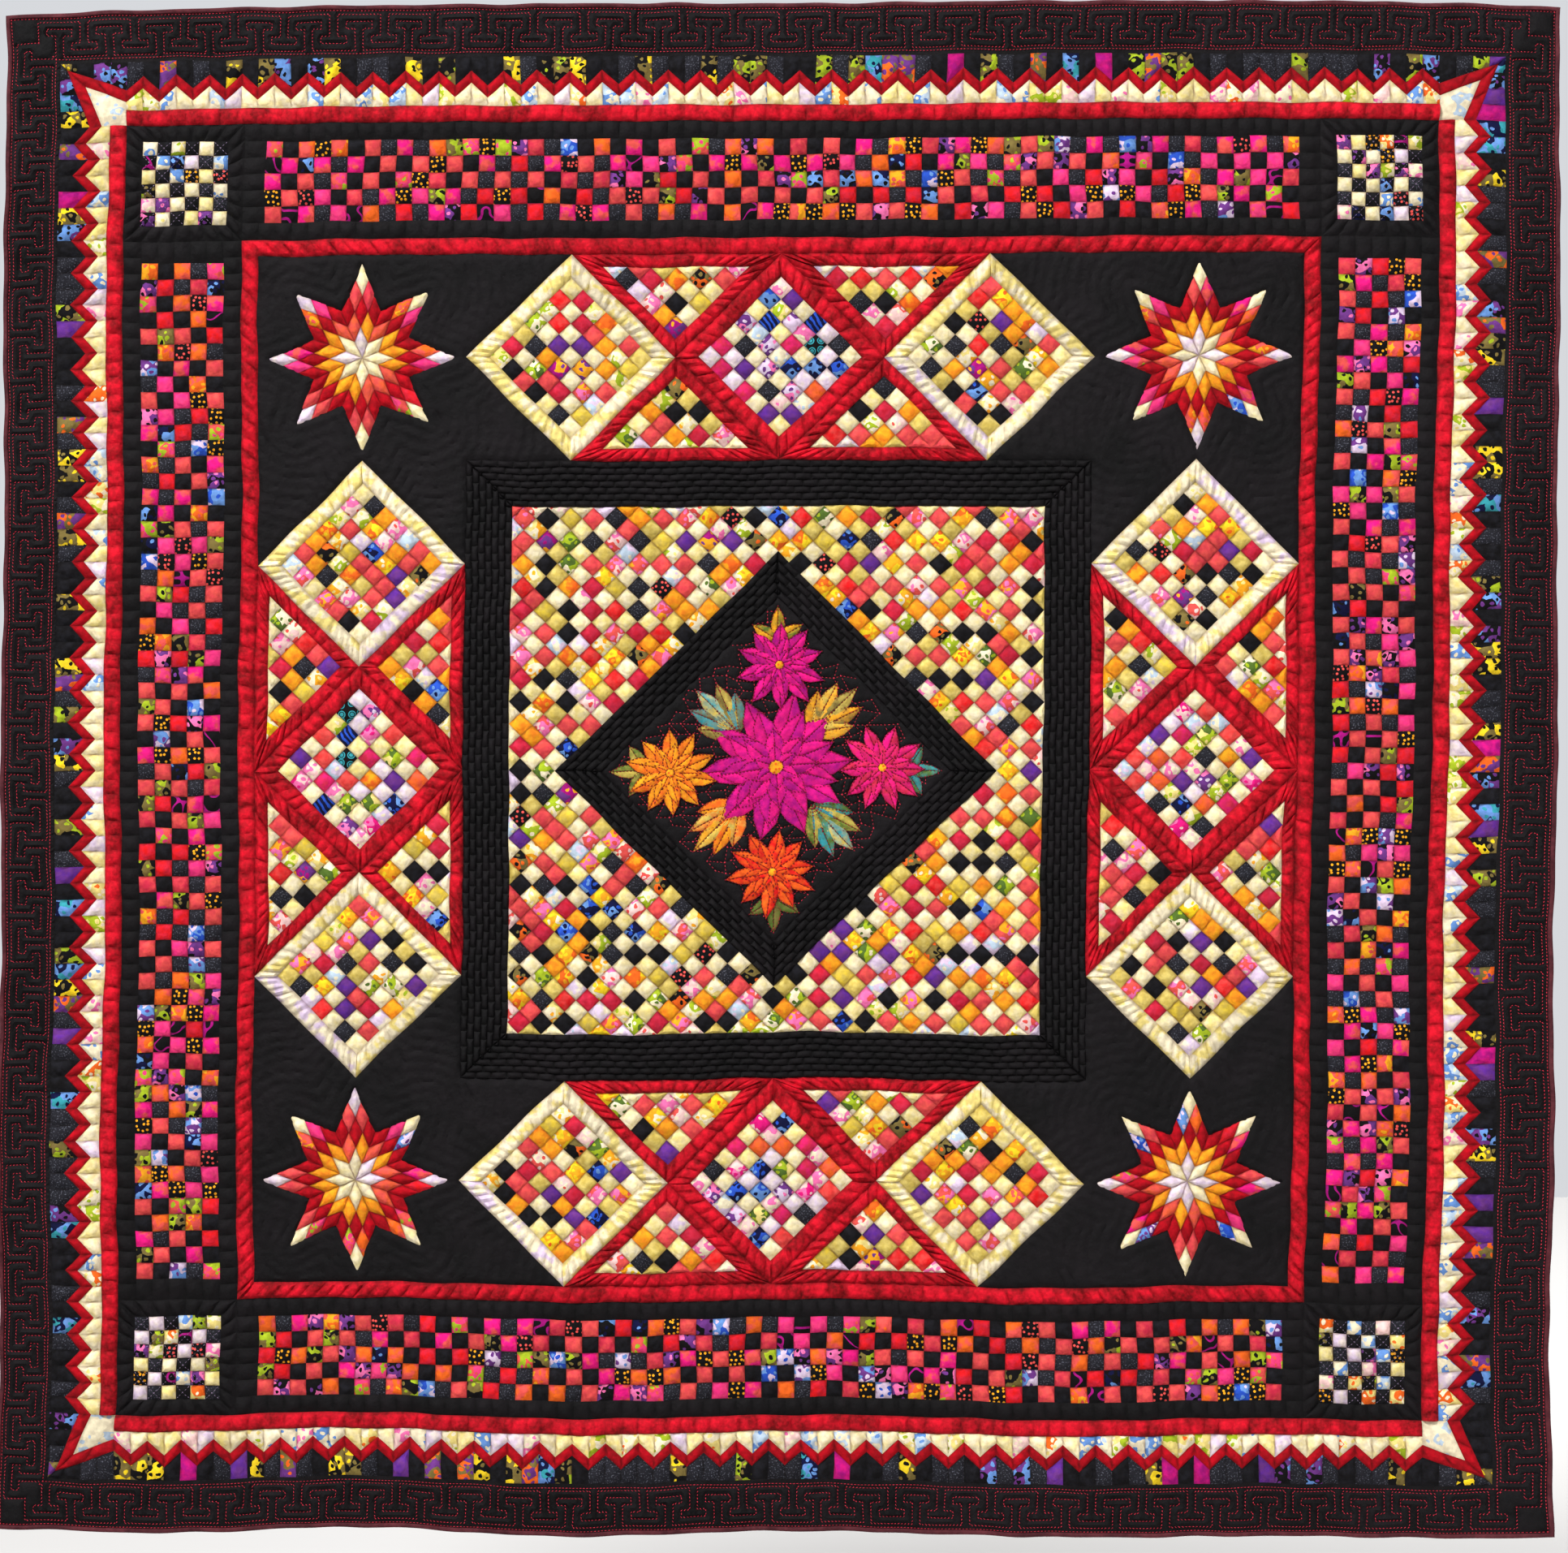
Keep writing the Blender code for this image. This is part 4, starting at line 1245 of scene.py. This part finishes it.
cloth_panel("flower_ground", [(panel_outline, net)], panel_ground, step=0.0026,
            nodes=("flower_panel",), slot="flowered_cotton", cloth=BLACK_COTTON)
net_lines = [[(u, v, SEAM + NET_LIFT) for u, v in line] for line in net]
stitched("net_stitches", net_lines, RED_THREAD, width=0.0012)
petal_lines = []
names = ("leaves", "lower_petals", "outer_petals", "middle_petals", "inner_petals", "flower_hearts")
for layer, name in enumerate(names):
    seam = SEAM + RING_LIFT * layer
    patchwork(name, layers[layer], (), "flowered_cotton", rise=PETAL_RISE, seam=seam, back=-BACK,
              seed=62 + layer)
    petal_lines += [[(u, v, seam + PETAL_STITCH_LIFT) for u, v in line] for line in sewn_rims[layer]]
stitched("petal_stitches", petal_lines, WINE_THREAD, width=0.0015)

# The sash: one scarlet cotton strip round the ring of blocks, a square wide, pieced to it and
# mitred at its corners. It is quilted across at uneven places, where the cloth puckers.
SASH_REACH = RING_REACH + SQUARE
sash_strips = frame_of(square_outline(SASH_REACH), square_outline(RING_REACH))
strip_cloth("sash", sash_strips, ribbed(pitch=0.0175, depth=0.9), step=STRIP_STEP, rows=5,
            nodes=("red_sash",), slot="red_cotton", cloth=RED)

# The long checkerboards: five rows of small cotton squares down the middle of each black side,
# dark ones in turn with scarlet, coral and fuchsia ones. They are pieced by machine and quilted
# along their seams.
FIELD_REACH = 40 * SQUARE
LONG_CHECK_ROWS = 5
LONG_CHECK_COLUMNS = 63
LONG_CHECK_HALF = LONG_CHECK_COLUMNS * SQUARE / 2
FIELD_MARGIN = (FIELD_REACH - SASH_REACH - LONG_CHECK_ROWS * SQUARE) / 2
check_low, check_high = SASH_REACH + FIELD_MARGIN, FIELD_REACH - FIELD_MARGIN


def rectangle(left, right, low, high):
    return [(left, low), (right, low), (right, high), (left, high)]


long_rng = random.Random(71)
long_patches, long_nodes = [], []
for quarters, side in enumerate(SIDE_NAMES):
    long_nodes.append(f"long_checks_{side}")
    panel = turned(rectangle(-LONG_CHECK_HALF, LONG_CHECK_HALF, check_low, check_high), quarters)
    for i, j, corners in squares_in(panel, LONG_CHECK_COLUMNS, LONG_CHECK_ROWS):
        long_patches.append((corners, cut_print(long_rng, ("bright", "dark")[(i + j) % 2])))
patchwork("long_check_squares", long_patches, long_nodes, "dark_checks", seed=72)

# The black field round the long checkerboards: plain strips of black cotton, pieced to the
# squares and to the sash, and quilted across at every square.
field_patches, field_nodes = [], []
margin_columns = round(2 * SASH_REACH / SQUARE)
for quarters, side in enumerate(SIDE_NAMES):
    field_nodes.append(f"black_field_{side}")
    low_strip = turned(rectangle(-SASH_REACH, SASH_REACH, SASH_REACH, check_low), quarters)
    high_strip = turned(rectangle(-SASH_REACH, SASH_REACH, check_high, FIELD_REACH), quarters)
    right_end = turned(rectangle(LONG_CHECK_HALF, SASH_REACH, check_low, check_high), quarters)
    left_end = turned(rectangle(-SASH_REACH, -LONG_CHECK_HALF, check_low, check_high), quarters)
    for panel, columns, rows in (
        (low_strip, margin_columns, 1), (high_strip, margin_columns, 1),
        (right_end, 1, LONG_CHECK_ROWS), (left_end, 1, LONG_CHECK_ROWS),
    ):
        for _, _, corners in squares_in(panel, columns, rows):
            field_patches.append((corners, cut_print(long_rng, "black")))
patchwork("black_field", field_patches, field_nodes, "black_cotton", front=BLACK_COTTON, seed=82,
          tree=BRICKS)

# The corner blocks: a checkerboard of pale and dark cotton squares, pieced in a frame of black
# strips. A cross of grey violet thread is quilted over each dark square, up one side of its pillow
# and down the other.
CORNER_SQUARES = 6
HALF_CROSS = ((0.12, 0.31), (0.20, 0.53), (0.30, 1.02), (0.50, 1.27))
CROSS_LIE = HALF_CROSS + tuple((1 - share, lift) for share, lift in HALF_CROSS[-2::-1])
corner_rng = random.Random(91)
corner_patches, corner_frames, corner_nodes, crosses = [], [], [], []
for quarters, corner in enumerate(CORNER_NAMES):
    outer = turned(rectangle(SASH_REACH, FIELD_REACH, SASH_REACH, FIELD_REACH), quarters)
    inner = inset(outer, SQUARE)
    corner_nodes.append(f"corner_block_{corner}")
    for quad in frame_of(outer, inner):
        columns = round(math.dist(quad[0], quad[1]) / SQUARE)
        corner_frames += [(cell, cut_print(corner_rng, "black"))
                          for _, _, cell in squares_in(quad, columns, 1)]
    for i, j, corners in squares_in(inner, CORNER_SQUARES, CORNER_SQUARES):
        dark = (i + j) % 2
        corner_patches.append((corners, cut_print(corner_rng, "dark" if dark else "tooth")))
        if dark:
            for start, end in ((0, 2), (1, 3)):
                crosses.append([(*part_way(corners[start], corners[end], share), SEAM + PUFF * lift)
                                for share, lift in CROSS_LIE])
patchwork("corner_block_frames", corner_frames, corner_nodes, "black_cotton", front=BLACK_COTTON, seed=93)
patchwork("corner_block_squares", corner_patches, (), "dark_checks", rise=1.15 * PUFF, seed=92)
GREY_THREAD = thread_material("grey violet thread", (152, 134, 162), (106, 90, 114))
stitched("corner_crosses", crosses, GREY_THREAD, slot="black_cotton", width=0.0009)

# The red border: one strip of scarlet cotton on each side of the field, pieced to it and butted
# against the cream corner points. It is quilted across like the sash.
RED_REACH = 41 * SQUARE
red_strips = [turned(rectangle(-FIELD_REACH, FIELD_REACH, FIELD_REACH, RED_REACH), q) for q in range(4)]
red_border_nodes = [f"red_border_{side}" for side in SIDE_NAMES]
strip_cloth("red_border", red_strips, ribbed(pitch=0.0180, depth=0.9), step=STRIP_STEP, rows=6,
            nodes=red_border_nodes, slot="red_cotton", cloth=RED)

# The pointed border: cream and pale cotton teeth, each of two halves, with a long point at each
# corner. A scarlet zigzag and then dark strips, one square wide, are pieced along the teeth, and
# all of it is quilted along the seams.
TEETH = 40
VALLEY = 0.5 * SQUARE
TIP = 1.4 * SQUARE
ZIGZAG = 0.75 * SQUARE
KITE_TIP_REACH = 42.5 * SQUARE
ZIGZAG_TIP_REACH = 43.6 * SQUARE
PIECED_REACH = 44 * SQUARE
CORNER_STRIP_SHARES = (0, 0.28, 0.56, 0.84, 1)


def tooth_line(k, rise):
    """A point of the toothed line, counted in squares from the right."""
    return (FIELD_REACH - k * SQUARE, RED_REACH + rise + (TIP if k % 2 else VALLEY))


tooth_rng = random.Random(101)
teeth, zigzag, strips = [], [], []
for quarters in range(4):
    for k in range(2 * TEETH):
        here, there = tooth_line(k, 0), tooth_line(k + 1, 0)
        far_here, far_there = tooth_line(k, ZIGZAG), tooth_line(k + 1, ZIGZAG)
        outer_edge = [(here[0], PIECED_REACH), (there[0], PIECED_REACH)]
        shapes = (([(here[0], RED_REACH), here, there, (there[0], RED_REACH)], "tooth", teeth),
                  ([here, far_here, far_there, there], "red", zigzag),
                  ([far_here, *outer_edge, far_there], "strip", strips))
        for shape, family, group in shapes:
            group.append((turned(shape, quarters), cut_print(tooth_rng, family)))
    for flipped in (False, True):
        inner, valley = (FIELD_REACH, FIELD_REACH), RED_REACH + VALLEY
        tip, red_tip = (KITE_TIP_REACH, KITE_TIP_REACH), (ZIGZAG_TIP_REACH, ZIGZAG_TIP_REACH)
        arm = [(FIELD_REACH, valley), tip, red_tip, (FIELD_REACH, valley + ZIGZAG)]
        ends = [part_way(arm[3], red_tip, share) for share in CORNER_STRIP_SHARES]
        tops = [(end[0], PIECED_REACH) for end in ends[:4]] + [(PIECED_REACH, PIECED_REACH)]
        shapes = []
        if flipped:
            shapes.append(([inner, (valley, FIELD_REACH), tip, (FIELD_REACH, valley)], "kite", teeth))
        for s, t in ((0, 0.5), (0.5, 1.0)):
            near = [part_way(arm[0], tip, s), part_way(arm[0], tip, t)]
            far = [part_way(arm[3], red_tip, t), part_way(arm[3], red_tip, s)]
            shapes.append((near + far, "red", zigzag))
        shapes += [([ends[n], ends[n + 1], tops[n + 1], tops[n]], "strip", strips) for n in range(4)]
        for shape, family, group in shapes:
            corners = [(v, u) for u, v in shape] if flipped else shape
            group.append((turned(corners, quarters), cut_print(tooth_rng, family)))
for name, patches, node, slot, tree in (
    ("points", teeth, "point_border", "cream_cotton", PILLOWS),
    ("zigzag_strips", zigzag, "zigzag", "red_cotton", BRICKS),
    ("dark_strips", strips, "strip_border", "dark_strips", PILLOWS),
):
    patchwork(name, patches, (node,), slot, rise=0.0032, seed=102, tree=tree)

# The outer border: wide black cotton, pieced on round the dark strips. It is quilted through all
# its layers in red thread, in an interlocked key pattern between straight lines of stitching.
BINDING_CLOTH = 0.0011
GAP = 0.0003
BORDER_REACH = EDGE_REACH - BINDING_CLOTH - GAP
KEY_UNITS = 30
KEY_LIFT = 0.0006
KEY_RISE = 0.0084
KEY_STEM = 0.0092
KEY_CHANNEL = 0.0098
KEY_TOP = EDGE_REACH - 0.0112
KEY_PITCH = (2 * (KEY_TOP - 3 * KEY_RISE) + KEY_STEM) / KEY_UNITS
STRAIGHT_LINES = (EDGE_REACH - 0.0068, PIECED_REACH + 0.0052)


def key_lines():
    """The two interlocked lines of the key pattern along the top side, from left to right."""
    half_stem = KEY_STEM / 2
    half_bar = KEY_PITCH / 2 - KEY_CHANNEL - half_stem
    levels = [KEY_TOP - KEY_RISE * k for k in range(6)]
    upper, lower = [(-levels[3], levels[3]), (-levels[3], levels[0])], [(-levels[5], levels[5])]
    for n in range(KEY_UNITS + 1):
        u = (n - KEY_UNITS / 2) * KEY_PITCH
        hanging = [(-half_stem, 0), (-half_stem, 3), (-half_bar, 3), (-half_bar, 4), (half_bar, 4),
                   (half_bar, 3), (half_stem, 3), (half_stem, 0)]
        if 0 < n < KEY_UNITS:
            upper += [(u + du, levels[row]) for du, row in hanging]
        if n < KEY_UNITS:
            lower += [(u + KEY_PITCH / 2 + du, levels[5 - row]) for du, row in hanging]
    return upper + [(levels[3], levels[0]), (levels[3], levels[3])], lower + [(levels[5], levels[5])]


side_lines = [*key_lines()] + [[(-reach, reach), (reach, reach)] for reach in STRAIGHT_LINES]
side_segments = [pair for line in side_lines for pair in zip(line, line[1:])]


def key_padding(place, outline, number):
    """The cloth stands up between the lines of stitching and the seams."""
    points = np.array(turned([tuple(p) for p in place], (4 - number) % 4))
    from_stitches = distance_to_lines(points, side_segments)
    from_seams = np.minimum(points[:, 1] - PIECED_REACH, BORDER_REACH - points[:, 1])
    return SEAM + PUFF * raised(from_stitches, DRAWN_DOWN) * raised(from_seams, 0.003)


border_panels, border_stitches = [], []
for quarters in range(4):
    reaches = sorted((BORDER_REACH, PIECED_REACH, *STRAIGHT_LINES,
                      KEY_TOP - 3 * KEY_RISE, KEY_TOP - 5 * KEY_RISE))
    outline = [(-reach, reach) for reach in reversed(reaches)] + [(reach, reach) for reach in reaches]
    lines = [turned(line, quarters) for line in side_lines]
    border_panels.append((turned(outline, quarters), lines))
    border_stitches += [[(u, v, SEAM + KEY_LIFT) for u, v in line] for line in lines]
cloth_panel("key_border_cloth", border_panels, key_padding, step=0.0040, nodes=("key_border",),
            slot="black_cotton", cloth=BLACK_COTTON)
stitched("key_stitches", border_stitches, RED_THREAD, width=0.0013)

# The binding: a narrow strip of dark maroon cotton, folded over the raw edge of all the layers
# and sewn down at the front and at the back.
BINDING_WIDTH = 0.0055
BINDING_STEP = 0.008
MAROON = dyed_material("maroon cotton", (96, 46, 52), (66, 30, 36), 0.75, 0.02)
BINDING_SECTION = (
    (BINDING_WIDTH, SEAM + 0.0004), (0.85 * BINDING_WIDTH, SEAM + 0.0020),
    (0.4 * BINDING_WIDTH, SEAM + 0.0022), (0.0006, SEAM + 0.0012), (0.0, SEAM / 2),
    (0.0006, -BACK - 0.0008), (0.4 * BINDING_WIDTH, -BACK - 0.0016),
    (0.85 * BINDING_WIDTH, -BACK - 0.0014), (BINDING_WIDTH, -BACK - 0.0002),
)

count = round(2 * EDGE_REACH / BINDING_STEP)
rings = []
for quarters in range(4):
    for k in range(count):
        along = EDGE_REACH * (1 - 2 * k / count)
        path = [(min(max(along, distance - EDGE_REACH), EDGE_REACH - distance), EDGE_REACH - distance)
                for distance, _ in BINDING_SECTION]
        swell = 1 + 0.08 * math.sin(along * 210 + quarters)
        rings += [(u, v, height * swell)
                  for (u, v), (_, height) in zip(turned(path, quarters), BINDING_SECTION)]
size = len(BINDING_SECTION)
total = 4 * count
faces = []
for k in range(total):
    for i in range(size):
        here, there = k * size, (k + 1) % total * size
        faces.append((here + i, there + i, there + (i + 1) % size, here + (i + 1) % size))
binding_mesh = hung_mesh("binding_cloth", np.array(rings), faces, (MAROON,))
fixer = bmesh.new()
fixer.from_mesh(binding_mesh)
bmesh.ops.recalc_face_normals(fixer, faces=fixer.faces)
fixer.to_mesh(binding_mesh)
fixer.free()
finish_piece("binding_cloth", binding_mesh, ("binding",), "black_cotton", crease_angle=60)

# The place it is seen in: a plain pale floor below it, soft studio light from the front, from one
# side and from behind, and a camera level with the middle of the quilt.
FLOOR_DROP = 0.30
FLOOR_REACH = 6.0
FLOOR_COLOUR = (0.50, 0.49, 0.48, 1)
SKY_COLOUR = (0.94, 0.96, 1.0, 1)
SKY_LIGHT = 0.17
SKY_SEEN = 0.55
LIGHTS = (
    ("key_light", (-4.2, -6.4, 7.4), 3.5, 1900),
    ("fill_light", (6.0, -7.0, 1.0), 5.0, 240),
    ("back_light", (5.5, 4.5, 5.5), 3.0, 1500),
)
QUILT_MIDDLE = (0.0, 0.0, -0.896)
CAMERA_DISTANCE = 4.2
PHOTO_WIDTH_METRES = 1.816
SENSOR = 36.0

floor_mesh = bpy.data.meshes.new("floor")
floor_level = cad_low.z - FLOOR_DROP
floor_corners = [(x, y, floor_level) for x, y in square_outline(FLOOR_REACH)]
floor_mesh.from_pydata(floor_corners, [], [(0, 1, 2, 3)])
floor_material = bpy.data.materials.new("pale floor")
floor_material.use_nodes = True
floor_shader = floor_material.node_tree.nodes["Principled BSDF"]
floor_shader.inputs["Base Color"].default_value = FLOOR_COLOUR
floor_mesh.materials.append(floor_material)
floor = new_object("floor", floor_mesh)

for name, place, size, power in LIGHTS:
    lamp = bpy.data.lights.new(name, "AREA")
    lamp.size = size
    lamp.energy = power
    light = new_object(name, lamp)
    light.location = place
    light.rotation_euler = (Vector(QUILT_MIDDLE) - Vector(place)).to_track_quat("-Z", "Y").to_euler()
world = bpy.data.worlds.new("studio")
world.use_nodes = True
background = world.node_tree.nodes["Background"]
background.inputs["Color"].default_value = SKY_COLOUR
seen = world.node_tree.nodes.new("ShaderNodeLightPath").outputs["Is Camera Ray"]
strength = calculate(world.node_tree, "MULTIPLY_ADD", seen, SKY_SEEN, SKY_LIGHT)
world.node_tree.links.new(strength, background.inputs["Strength"])
bpy.context.scene.world = world
bpy.context.scene.view_settings.view_transform = "Standard"

camera_data = bpy.data.cameras.new("camera")
camera_data.sensor_width = SENSOR
camera_data.lens = SENSOR * CAMERA_DISTANCE / PHOTO_WIDTH_METRES
camera = new_object("camera", camera_data)
camera.location = (QUILT_MIDDLE[0], QUILT_MIDDLE[1] - CAMERA_DISTANCE, QUILT_MIDDLE[2])
camera.rotation_euler = (math.radians(90), 0, 0)
bpy.context.scene.camera = camera
